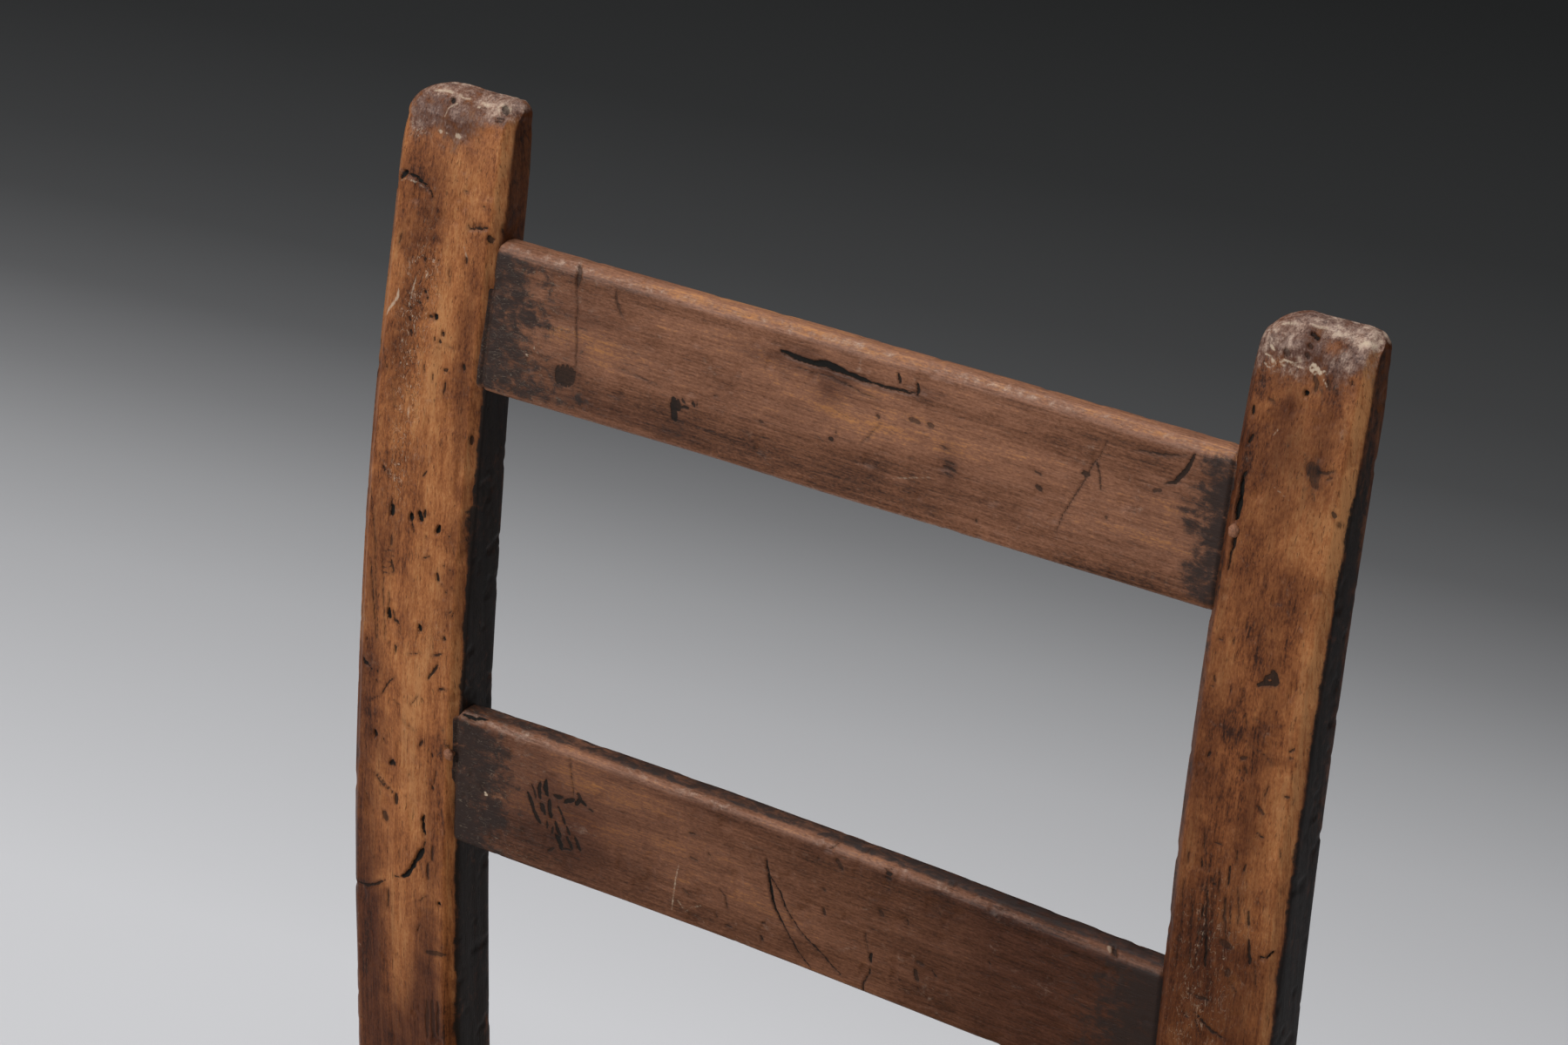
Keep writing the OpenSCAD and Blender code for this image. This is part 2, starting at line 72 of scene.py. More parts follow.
# Marks on the front of a piece, grouped by (width, depth, darkness). Each is a broken line
# across, up, across, up and so on, from the middle line of the piece, and up from the floor
# on a post or from the middle line on a slat. All in millimetres.
MARKS = {
    "left_post": {
        (2.2, 1.6, 1): ((-21.4, 812.4, -19.6, 816.9, -16.2, 819.6),),
        (1.1, 1.2, 1): ((-17.4, 819.5, -12, 818.5, -7.2, 816.6),),
        (0.6, 0.6, 0.9): ((-7.6, 816.8, -5.6, 815.2, -4.8, 813.2),),
        (1.3, 0.8, 0.9): ((-4, 844.9, -3.3, 844.5),),
        (1.5, 0.6, 0.7): ((14.6, 846.3, 17, 845.3),),
        (0.5, 0.3, 0.7): (
            (14.3, 843.3, 17.4, 843.7), (-9.2, 712.7, -9, 710.3), (5.6, 703.6, 5.8, 703.1),
            (13.9, 706.3, 15.2, 705.7), (-8, 680.1, -7.6, 674), (-5.8, 674.5, -4.9, 671.1),
            (16.4, 679.6, 17.4, 680.6, 18.5, 680.1, 17.9, 678.9, 16.8, 678.8),
            (-3.4, 662.5, -3.9, 661.1), (-7.1, 662.6, -7, 661.7),
            (1.1, 660.6, 3.9, 661.8, 6.6, 662.8), (7.6, 646.8, 8.2, 645.6),
        ),
        (0.5, 0.3, 0.6): (
            (14.6, 842.5, 17, 842.9), (6.9, 818.7, 8.3, 818.7), (-15, 605.1, -13.3, 601.7),
        ),
        (1.7, 0.6, 0.8): ((18.6, 806.4, 19.6, 805.2),),
        (0.8, 0.7, 0.9): ((10.4, 807.4, 14, 808.4, 17.7, 809.3),),
        (0.4, 0.3, 0.7): (
            (12.5, 809.7, 13, 808.4), (14.5, 809.9, 15, 808.9), (10.2, 808.9, 10.7, 807.9),
            (5.2, 793.9, 5, 791.6, 5.7, 790.1, 5.5, 788.1),
            (-0.7, 760.7, -0.9, 759.2, -0.4, 757.6), (2.9, 758.5, 3, 755.6),
            (3.1, 642.9, 6.3, 647.2), (8.6, 561.7, 7.8, 559.1, 7.3, 557.2),
        ),
        (0.6, 0.3, 0.7): (
            (15.1, 815.6, 16.1, 814.8), (-7, 775.2, -6.6, 774.8), (13.1, 695.5, 13.4, 695.3),
            (15.6, 694.7, 16, 694.5), (17.1, 693.6, 17.5, 693.4), (12.9, 688.7, 13.3, 688.5),
            (14.5, 686.7, 14.8, 686.5), (16.8, 688.6, 17.2, 688.4), (17.9, 687.8, 18.3, 687.6),
            (-11.4, 650.9, -11.2, 650.1),
        ),
        (0.4, 0.2, 0.6): (
            (-15.3, 799.7, -15.5, 797.9, -16.2, 796.3),
            (-18.4, 713.7, -16.1, 702.3, -14.1, 690.6), (-11.3, 691.4, -9.7, 673.4, -8.7, 662.7),
            (-11.8, 693.7, -7.2, 694.7), (-11.7, 691.9, -7.1, 692.9), (-11.5, 689.8, -6.9, 690.9),
            (-11.4, 688, -6.8, 689.1), (-11.3, 686.2, -6.7, 687.2),
        ),
        (0.9, 0.5, 0.8): ((-5, 794.3, -4.7, 793.5),),
        (0.6, 0.4, 0.8): (
            (0.4, 794.9, 0.5, 794.2), (2.3, 770, 2.6, 768.8),
            (3.7, 725.5, 3.1, 724.3, 2.6, 723.4),
        ),
        (0.9, 0.4, 0.7): ((10.9, 797.9, 11.2, 796.8),),
        (1, 0.6, 0.9): (
            (-3.7, 783.8, -3.2, 783.2), (-5.5, 780.1, -5.1, 779.3), (5.3, 772.5, 5.5, 771.5),
            (11, 692.1, 11.5, 689.5),
        ),
        (0.9, 0.5, 0.85): (
            (-2.5, 782.4, -2.1, 781.8), (-7.7, 769.9, -7, 768.6), (-14, 722.7, -12.9, 721.2),
            (-4.5, 662.5, -4, 661.3, -4.1, 659.8), (14.3, 651.9, 15.9, 652.6, 17.6, 652.8),
            (12.7, 615.9, 13.3, 614.8),
        ),
        (0.8, 0.4, 0.8): (
            (-8.6, 777.1, -7.9, 776.8), (-8.6, 774, -8.3, 773), (11, 663, 13.5, 664, 15, 665.1),
        ),
        (1.9, 1.2, 1): ((1.6, 776.7, 1.8, 776.6),),
        (1.1, 0.5, 0.8): ((-0.6, 776.3, 0, 776.3),),
        (0.9, 0.5, 0.9): (
            (4.2, 769.5, 4.7, 768.6), (7.3, 760.6, 8.1, 760.7),
            (9.8, 654.2, 11.7, 657.9, 13.4, 660.5),
        ),
        (0.3, 0.2, 0.5): ((6.8, 769, 9.4, 768.2),),
        (0.8, 0.4, 0.7): ((-16.1, 756.1, -15.8, 755),),
        (1.1, 0.5, 0.9): ((14.2, 764, 14.8, 762.3),),
        (0.7, 0.4, 0.8): (
            (8.1, 756.9, 8.1, 754.6, 7.7, 751.9), (-16.4, 661.2, -16.3, 660.6),
            (-7.8, 626.9, -7.6, 626.3), (12.5, 628.1, 12.7, 626.6),
        ),
        (1, 0.5, 0.8): ((20, 741.2, 20.1, 738),),
        (1.9, 1, 1): ((-9, 710.3, -8.9, 707.3), (-7.7, 673.7, -7.3, 671.6)),
        (1.7, 1.2, 1): ((-1, 709.3, -1, 707.8),),
        (0.6, 0.4, 0.85): ((-0.6, 707.6, -0.1, 705.6, 0.3, 703.3), (-17.7, 652.9, -15.5, 652.6)),
        (1.7, 1.1, 1): ((2.2, 711.1, 2.8, 709.4, 3.3, 708.5),),
        (1.1, 0.6, 0.9): ((4.4, 712, 4.5, 709.9),),
        (1.6, 1.1, 1): ((9.5, 706.2, 10.4, 707.9),),
        (0.8, 0.3, 0.6): ((-8.3, 699.9, -8.2, 696.3),),
        (0.5, 0.2, 0.65): ((-16.6, 689.9, -14.8, 679.6, -12.3, 661.6),),
        (0.4, 0.2, 0.65): ((-14.5, 690.5, -13.1, 675.5, -11.6, 661.9),),
        (0.9, 0.4, 0.8): ((-7.7, 691.5, -7.2, 689.5, -6.3, 687.4), (7.2, 629.1, 8.9, 631.7)),
        (0.6, 0.3, 0.8): ((5.2, 696, 7.6, 697.3), (-17.5, 514.8, -17.4, 514.5)),
        (1.2, 0.5, 0.85): ((-5.3, 671.1, -3.2, 670.4),),
        (1.6, 0.9, 1): ((5.1, 671.8, 5.6, 670.8),),
        (1.2, 0.6, 0.9): ((15.1, 670.7, 15.4, 670.1),),
        (1.4, 0.7, 0.95): ((-17.8, 653.5, -16.6, 652.1, -15.3, 651.6),),
        (0.7, 0.5, 0.9): ((-15.9, 652, -13.6, 650.2),),
        (0.7, 0.3, 0.7): ((-11.6, 647.6, -11.2, 646.7),),
        (0.5, 0.3, 0.8): ((-3.5, 651.3, -6.9, 647.5, -9, 643),),
        (0.35, 0.2, 0.6): ((-14.6, 639.2, -10.1, 641.9), (8.6, 570.8, 10.1, 572.6, 11.9, 574)),
        (0.6, 0.3, 0.6): ((-3.8, 642.5, -0.8, 641.2),),
        (0.35, 0.2, 0.5): ((0.1, 636.6, 5.3, 633.8),),
        (1.2, 0.7, 0.9): ((-11.5, 628.9, -11.2, 626.6),),
        (1.5, 0.8, 0.95): ((-4.4, 618.6, -3.6, 619.6, -2.8, 618.9),),
        (0.4, 0.3, 0.6): ((14.4, 622.3, 13.3, 616.4),),
        (0.6, 0.3, 0.75): ((-12.2, 613.4, -7.9, 610.1, -3.5, 607.9),),
        (0.5, 0.3, 0.75): ((-10.7, 613.7, -6.8, 610.5, -2.7, 608.4),),
        (1.7, 0.5, 0.85): ((-2, 607.9, -1.7, 604.9),),
        (2, 0.2, 0.7): ((-6.4, 599.7, -5.7, 597.2),),
        (1.1, 0.9, 1): ((9.9, 603.8, 9.2, 601.3, 9.6, 598.8, 10.4, 596.3),),
        (0.5, 0.4, 0.8): ((10.5, 594.5, 9.9, 591.3),),
        (2, 0.9, 1): ((9.8, 591, 8.3, 588.2, 6.9, 585.9),),
        (1.5, 0.9, 1): ((7.1, 586.4, 5.8, 583.7, 4.4, 580.8),),
        (1.7, 0.9, 1): ((4.9, 581.6, 3.1, 578.8, 1.3, 577.6),),
        (0.7, 0.4, 0.85): ((1.6, 577.8, -0.9, 577, -2.6, 576.3),),
        (1, 0.5, 0.85): ((-18.1, 568.6, -13.9, 568.8, -9.8, 570.8, -6.2, 573.7),),
        (0.8, 0.2, 0.65): ((-4.9, 570.9, -4.6, 567.6, -4.7, 563.8),),
        (1, 0.2, 0.6): ((13.9, 594, 13.5, 587.8),),
        (0.9, 0.3, 0.7): ((11.9, 586.6, 11.9, 579.9),),
        (1.3, 0.9, 1): ((16.5, 572.2, 16.8, 572.2),),
        (1.9, 0.1, 0.6): ((11.1, 551.6, 14.8, 552.6, 18.8, 552.9),),
        (1.6, 0.1, 0.45): ((11.3, 532.1, 11, 517.5), (13.6, 533.3, 13.4, 517.7)),
        (1.2, 0.1, 0.45): ((16, 533.5, 15.5, 519.2),),
    },
    "right_post": {
        (1.4, 1.3, 1): ((0, 830.9, 0.3, 830.7),),
        (0.9, 0.8, 0.8): ((-3, 847, -1.9, 846.9),),
        (1, 0.8, 0.9): ((-1.4, 846.5, -0.4, 846.3),),
        (1.7, 0.4, 0.5): ((-8.8, 840.8, -7.9, 840),),
        (1.2, 0.3, 0.5): ((-2, 841.2, -1.3, 840.8),),
        (1, 0.3, 0.5): ((-1.9, 844.2, -1.2, 843.4), (14.2, 724.5, 14.9, 724.5)),
        (0.9, 0.3, 0.6): ((13.4, 837.2, 13.8, 836.7), (0.6, 717.2, 1.1, 715.5)),
        (0.9, 0.7, 0.95): ((-15.3, 823, -15.2, 821),),
        (0.8, 0.6, 0.9): ((-14, 814.9, -14.7, 812.2),),
        (0.7, 0.5, 0.9): ((-13.9, 804.3, -14.7, 801.8),),
        (1.6, 1.1, 1): ((-14.7, 801.8, -14.6, 798.5, -14.2, 796),),
        (2, 1.3, 1): ((-14.3, 796.5, -14.6, 792.7, -14.7, 789.6),),
        (1.2, 0.9, 0.95): ((-14.1, 785.6, -14.3, 780.8),),
        (0.7, 0.6, 0.9): ((-14.3, 781.3, -14.6, 774.1),),
        (0.5, 0.4, 0.7): ((-16.1, 801.7, -16.3, 799.6),),
        (1.5, 0.2, 0.55): ((1.7, 836, 2.9, 834.2, 2.8, 832),),
        (1.1, 0.2, 0.5): ((6.1, 836.1, 7.2, 833.6),),
        (3.4, 0.2, 0.5): ((6.2, 811, 7.5, 808.8, 8, 806.2),),
        (1.6, 0.2, 0.4): ((4.8, 810.4, 5.6, 808.6),),
        (1, 0.2, 0.6): ((8.4, 810.1, 11.2, 810.2, 13.5, 811.4),),
        (0.8, 0.2, 0.5): ((11.5, 808.4, 13, 809.3),),
        (1.3, 0.3, 0.75): ((15, 799.4, 16, 798.6),),
        (0.9, 0.2, 0.5): ((17.1, 796.5, 17.6, 795.7), (-11.3, 826.6, -8.9, 825.7)),
        (0.6, 0.2, 0.4): ((15.3, 776.3, 15.7, 775.6), (-7.8, 727.3, -6.4, 726.1)),
        (1.5, 0.3, 0.85): ((0.5, 743.5, 3.6, 744.8, 6.9, 745.3),),
        (2.6, 0.3, 0.85): ((5.2, 748.1, 6.1, 745.7),),
        (1.4, 0.3, 0.8): ((2.7, 746.1, 5.1, 747.6),),
        (0.5, 0.3, 0.75): ((-2, 735.1, -1, 730.5),),
        (0.4, 0.2, 0.5): (
            (-3.6, 741.1, -2.9, 738.4), (-7.3, 655.4, -7.3, 647.7), (-14.3, 676.2, -13.9, 667.7),
        ),
        (0.5, 0.2, 0.6): ((-14, 753.2, -12.5, 753.6),),
        (0.6, 0.3, 0.55): ((-9.1, 754.9, -8.8, 753.3),),
        (0.6, 0.3, 0.6): (
            (-13.8, 742.1, -13.2, 740.2), (-8.5, 640.2, -7.3, 640), (-5.2, 632.4, -2.9, 627.2),
        ),
        (0.6, 0.3, 0.5): ((-14, 738.8, -13.3, 738.5),),
        (0.8, 0.5, 0.8): ((-11.9, 717.2, -11.1, 718.7),),
        (1, 0.3, 0.6): ((-1.4, 719.8, 0.5, 720.7),),
        (0.7, 0.3, 0.5): ((-1.8, 716.2, -1, 715.6),),
        (0.5, 0.3, 0.5): (
            (-0.6, 725.7, 5, 723.6, 8.7, 721.7), (-11.9, 713.8, -11.9, 711.6),
            (9, 714.4, 8, 709.6), (-13.8, 685.6, -13.9, 682.1),
        ),
        (0.4, 0.2, 0.4): ((1.1, 733.3, 6, 731.6),),
        (0.8, 0.4, 0.8): ((13.9, 726.5, 15.3, 727.8), (7.3, 698.6, 9.6, 697.7)),
        (0.9, 0.4, 0.75): ((14.7, 712.4, 15.9, 712.7), (7.9, 673.4, 8.8, 668.5)),
        (0.5, 0.2, 0.4): ((15.6, 720.9, 16.2, 718.1),),
        (1, 0.4, 0.6): ((6, 707.3, 7.4, 705.8, 9.1, 704.4),),
        (0.5, 0.3, 0.6): (
            (-9.6, 694.9, -8.9, 687.8), (1.7, 691, 2.5, 687.3), (15.5, 696.1, 16.2, 693.3),
            (12.3, 657, 13.5, 649.2),
        ),
        (0.6, 0.3, 0.7): ((-5.7, 691.2, -2.9, 691.5), (-5.9, 670.4, -5.2, 662.5)),
        (0.7, 0.4, 0.8): ((-9.5, 685, -8.7, 681.6),),
        (0.7, 0.4, 0.7): ((5.1, 687.9, 4.9, 685.3),),
        (0.7, 0.4, 0.85): ((0.1, 685.9, 0.2, 679.1),),
        (0.8, 0.4, 0.75): ((-5.7, 679.7, -4, 677.7),),
        (0.6, 0.3, 0.65): ((-6, 675.6, -5.5, 669.4), (0.4, 669.7, 2, 661.6)),
        (0.7, 0.4, 0.75): ((-7, 670.6, -7, 666),),
        (0.8, 0.4, 0.65): ((0, 675.3, 0.3, 667.3),),
        (0.5, 0.3, 0.65): (
            (-3, 682.9, -2.3, 674.5), (1.7, 675.3, 2.5, 667), (-7.2, 664.7, -7.6, 657.6),
        ),
        (0.5, 0.2, 0.55): (
            (-10.7, 669.9, -10.2, 662), (-10, 658.5, -9, 649.5), (3.8, 679.5, 5.4, 667.9),
        ),
        (0.9, 0.5, 0.8): ((-4.7, 661, -4, 650.6),),
        (1, 0.5, 0.85): ((9.3, 664.1, 10.5, 656.3),),
        (0.5, 0.2, 0.5): ((-3.7, 674.1, -3.3, 663.8),),
        (0.8, 0.8, 1): ((13.4, 660, 15.5, 660.2, 17.7, 662.3),),
        (2.4, 0.2, 0.5): ((0.7, 660.5, 3.5, 659.7),),
        (1.2, 0.3, 0.65): ((-6.6, 639.6, -4, 639.8, -1.3, 639.8),),
        (0.9, 0.4, 0.8): ((-6.1, 634.8, -2.5, 632.2, 1.3, 630, 5.9, 629.2),),
        (0.7, 0.3, 0.6): ((-9.2, 632.7, -7.9, 632),),
        (0.5, 0.3, 0.55): ((4.3, 648.3, 7.9, 645.4),),
        (1.6, 0.2, 0.5): ((3.7, 650.4, 3.8, 652.2),),
    },
    "upper_slat": {
        (0.4, 0.3, 0.4): ((-101, 17.2, -99.9, 6.2, -98.8, -2.1, -98.4, -8.4),),
        (1.6, 0.6, 0.55): ((-102.6, 24.6, -101.2, 22.4, -100.9, 17.4),),
        (2.2, 0.1, 0.75): (
            (-104.9, -10, -104.4, -14.4), (-103.2, -9.2, -102.8, -14.8),
            (-101.5, -9, -101.3, -14.9), (-99.9, -9.2, -99.9, -14.6),
        ),
        (1.6, 0.1, 0.7): ((-98.7, -9.8, -98.9, -14),),
        (2.6, 0.1, 0.9): ((-60.6, -9.2, -60.3, -12.6, -59.4, -15.8),),
        (1.6, 0.1, 0.85): ((-59, -9.4, -58.6, -12),),
        (1, 0.1, 0.8): ((-57.6, -8.4, -56.8, -9.2),),
        (1.2, 0.1, 0.85): ((-57.8, -11, -56.4, -10.6, -55, -10.9),),
        (1, 0.1, 0.85): ((-53.8, -8.4, -52.9, -9.8),),
        (0.5, 0.1, 0.7): ((-52.2, -8.2, -52.2, -9.4),),
        (0.9, 0.2, 0.45): ((-86.4, 19.8, -85.9, 16.7, -84.6, 14, -82.7, 11.9),),
        (1.6, 0.6, 1): ((-24.4, 15.9, -20, 15.2, -14, 14.7, -9, 14.9),),
        (2.3, 0.9, 1): ((-13, 14.6, -8, 15.6, -3, 15, 1, 14.4),),
        (1.4, 0.7, 1): ((-1, 14.8, 4, 14.2, 9, 13.9),),
        (0.9, 0.6, 0.95): ((7, 14, 13.1, 13.9, 18.2, 13.9, 25.2, 14.6),),
        (0.6, 0.2, 0.5): ((-17.8, 12, -11.7, 11.8, -5.2, 12.1, 1.3, 11, 6.3, 9.8, 12.6, 9.5),),
        (0.9, 0.5, 0.9): ((17.8, 18.8, 18.9, 16.2), (24.4, 17.8, 25.5, 15, 25.3, 13.8)),
        (1.3, 0.2, 0.8): ((-3.2, -7.1, -2.4, -7.1),),
        (1.1, 0.2, 0.6): ((12.4, 4.2, 13, 3.9),),
        (1, 0.1, 0.5): ((-28.6, -8.1, -27.6, -8.5),),
        (1.4, 0.1, 0.55): ((23.6, 6.4, 27.4, 5.9),),
        (1.5, 0.1, 0.55): ((30.4, 6.4, 31.8, 6),),
        (0.5, 0.1, 0.5): ((-1.2, -3.6, -1, -6.4),),
        (0.8, 0.1, 0.6): ((37.6, -3.4, 41.6, -3.8), (37.8, -7, 41.4, -7.4)),
        (0.9, 0.1, 0.65): ((37.4, -5.2, 42, -5.6),),
        (0.7, 0.1, 0.5): ((35.8, 0.8, 38.6, 0.4),),
        (1.8, 0.1, 0.7): ((70, -3.2, 71.2, -3.6),),
        (0.9, 0.1, 0.6): ((68.6, 1.4, 70.8, 0.8),),
        (0.9, 0.2, 0.7): ((51, -18.7, 51.4, -19),),
        (0.8, 0.2, 0.6): ((94.2, -5.9, 94.5, -6.1),),
        (0.45, 0.2, 0.6): (
            (90.7, 16.3, 89.8, 12.9, 86.8, 7.2, 84.3, 0.5, 82, -4.2, 79.8, -9.4, 78.5, -15.2),
        ),
        (0.5, 0.2, 0.65): ((88.1, 9.7, 89, 8.6, 90.2, 6.2, 91.2, 1.6),),
        (1.6, 0.2, 0.75): ((84.8, 5.2, 86.2, 5.3),),
        (1.5, 0.3, 0.85): ((119.8, 20.6, 119.2, 17.6, 117.4, 14, 115, 10.6, 112, 9.4),),
        (0.7, 0.2, 0.6): ((99.6, 16.3, 105.3, 17.2, 112.5, 18.1, 118.4, 19.9),),
        (1.3, 0.1, 0.6): ((108.6, 6.2, 110.8, 6.8),),
        (0.4, 0.2, 0.45): ((8, -5.8, 14, 2.2),),
        (0.6, 0.3, 0.5): ((-47, -4.4, -44.6, -4),),
        (0.5, 0.2, 0.4): ((-84, -4.1, -66, -6.4),),
    },
    "lower_slat": {
        (1.1, 0.8, 0.7): ((113.7, 25, 114.6, 23.6, 116, 22.6),),
        (0.9, 0.8, 1): ((-132, 23.2, -127, 22.9, -122.5, 24.2),),
        (1.5, 0.1, 0.9): (
            (-104.2, 3.4, -102.6, 0.2, -101.4, -2.6), (-99.6, 8.8, -99.8, 5.8, -99.4, 2.6),
            (-89.8, 4.6, -88.8, 5.4, -86.2, 6.4),
        ),
        (1.6, 0.1, 0.9): (
            (-101.8, -2, -100.4, -4.4, -98.8, -6.2), (-95.8, 3.6, -95.4, 0.8, -95, -3.2),
        ),
        (1, 0.1, 0.75): ((-102.8, 6.9, -101.6, 4.4, -101, 2),),
        (1.3, 0.1, 0.85): (
            (-99.2, 0.8, -98.4, -1.6), (-94.2, 5.9, -92.4, 5.5, -90.4, 5.9),
            (-85.3, -6.9, -83.8, -9.2, -82.7, -11.2),
        ),
        (1.8, 0.1, 0.95): ((-97.2, 10, -97.4, 7, -96.6, 4.8),),
        (1.3, 0.1, 0.9): ((-98.2, 1, -97.2, -2.6), (-93.2, -3.8, -91.8, -6.6, -90.6, -8.8)),
        (0.9, 0.1, 0.8): ((-96.4, -4.6, -96.2, -7.2),),
        (1.7, 0.1, 0.9): ((-85.2, 5.2, -83.8, 7.2, -81.8, 6),),
        (1.2, 0.1, 0.8): ((-84.6, 9.2, -83.8, 7.6),),
        (1, 0.1, 0.7): ((-80.4, 5.4, -78.6, 4.8),),
        (1, 0.1, 0.85): (
            (-92, 1.9, -90.8, -0.2), (-88.4, -4, -87.2, -6.8), (-88, -8, -87.2, -9.6),
        ),
        (1.1, 0.1, 0.85): ((-90, -1, -89.2, -3.4),),
        (0.8, 0.1, 0.8): ((-94, -5.8, -93.9, -8.6),),
        (1.9, 0.1, 0.95): ((-92.1, -8.6, -90.8, -10.6, -89.8, -12.9),),
        (1.2, 0.1, 0.85): ((-86.9, -9.2, -85.8, -11.6),),
        (0.8, 0.1, 0.7): ((-90.4, -12.8, -85.8, -11.9),),
        (1, 0.1, 0.6): ((-95.2, -15.4, -92.6, -13.2),),
        (0.6, 0.1, 0.5): ((-93, -17.2, -89.4, -17.4),),
        (0.4, 0.2, 0.45): ((-88.6, 21.3, -87.6, 16.9, -86.8, 12.4, -86.2, 7.2),),
        (0.7, 0.6, 0.9): ((-11.7, 10.6, -11.3, 6.9, -10.5, 3.4),),
        (1, 0.8, 1): ((-10.8, 4.6, -9.6, -0.1, -8.6, -3.5, -7.1, -6.8),),
        (0.8, 0.7, 0.95): ((-7.3, -6.2, -5.7, -8.2, -3.8, -10.7),),
        (0.5, 0.4, 0.9): ((-4.2, -10.2, -0.9, -14.7, 2.4, -18.3, 6, -21.2, 7.7, -22.4),),
        (0.5, 0.5, 0.95): (
            (-10.8, 5.5, -8.5, 3.2, -6, 0.3, -3.7, -3.7, -1.1, -7.8),
            (-1.8, -6.8, 2.5, -11, 6.7, -13.3, 10.2, -15.2, 14.4, -18.1, 19.2, -21),
        ),
        (1.2, 0.5, 0.9): ((29.5, -9, 29.3, -10.9, 29.6, -12.1),),
        (0.8, 0.5, 0.85): ((29.5, -14.7, 29.3, -16.7),),
        (0.7, 0.4, 0.8): ((29.1, -16.7, 27.6, -20.1, 27.4, -23.4),),
        (0.5, 0.3, 0.5): (
            (26.6, -2.2, 27.2, -5.7, 28.5, -9), (-30, -15.6, -28.9, -17.1),
            (-28.6, -6.5, -26.4, -8.6, -25.2, -12.3),
        ),
        (0.8, 0.3, 0.5): ((-25.4, -18.5, -23, -18.9),),
        (0.7, 0.4, 0.7): ((-12.3, -17.9, -11.1, -19),),
        (0.7, 0.3, 0.55): ((-12, -13.3, -10.4, -12.4), (-33.7, 4.5, -32.7, 3.9)),
        (1, 0.4, 0.65): ((10.6, 0.2, 11.1, -1.5),),
        (0.8, 0.4, 0.55): ((9.4, 7, 10.7, 7.2),),
        (0.9, 0.3, 0.5): ((7.3, 17.3, 7.9, 17.2),),
        (1.5, 0.3, 0.5): ((14.3, 19.1, 16.2, 16.4),),
        (0.6, 0.3, 0.65): ((12, 23.3, 14.1, 25.9), (10.4, 21.5, 12.4, 23.2)),
        (0.5, 0.3, 0.6): ((11, 24.2, 12.9, 25.5), (31.4, 21.8, 34, 22.5)),
        (1, 0.4, 0.8): ((32.5, 20.9, 34.3, 21),),
        (0.9, 0.4, 0.75): ((32.3, 19.6, 34.2, 19.5),),
        (1.6, 0.2, 0.4): ((31.4, 7.1, 32.5, 5.7),),
        (0.7, 0.3, 0.5): ((41.4, 7.7, 41.9, 6),),
        (1.5, 0.3, 0.6): ((45.8, -8.9, 47.1, -12.2),),
        (1.2, 0.3, 0.55): ((46.2, -5.6, 48.8, -5.8),),
        (0.6, 0.3, 0.5): ((47.3, -14.6, 48.1, -15.6),),
        (0.9, 0.2, 0.5): ((-41.4, 9.8, -39.4, 9.8),),
        (0.8, 0.2, 0.5): ((-40.9, 1.1, -37.8, 0.8),),
        (0.5, 0.2, 0.5): ((-42.8, -11.1, -39.3, -13.1),),
        (1.6, 0.8, 0.9): ((111.5, 25.9, 117, 27.4),),
        (0.7, 0.3, 0.6): ((52, -6.4, 54, -8.4),),
        (0.6, 0.3, 0.6): ((72, 3.6, 72.6, 3),),
    },
}
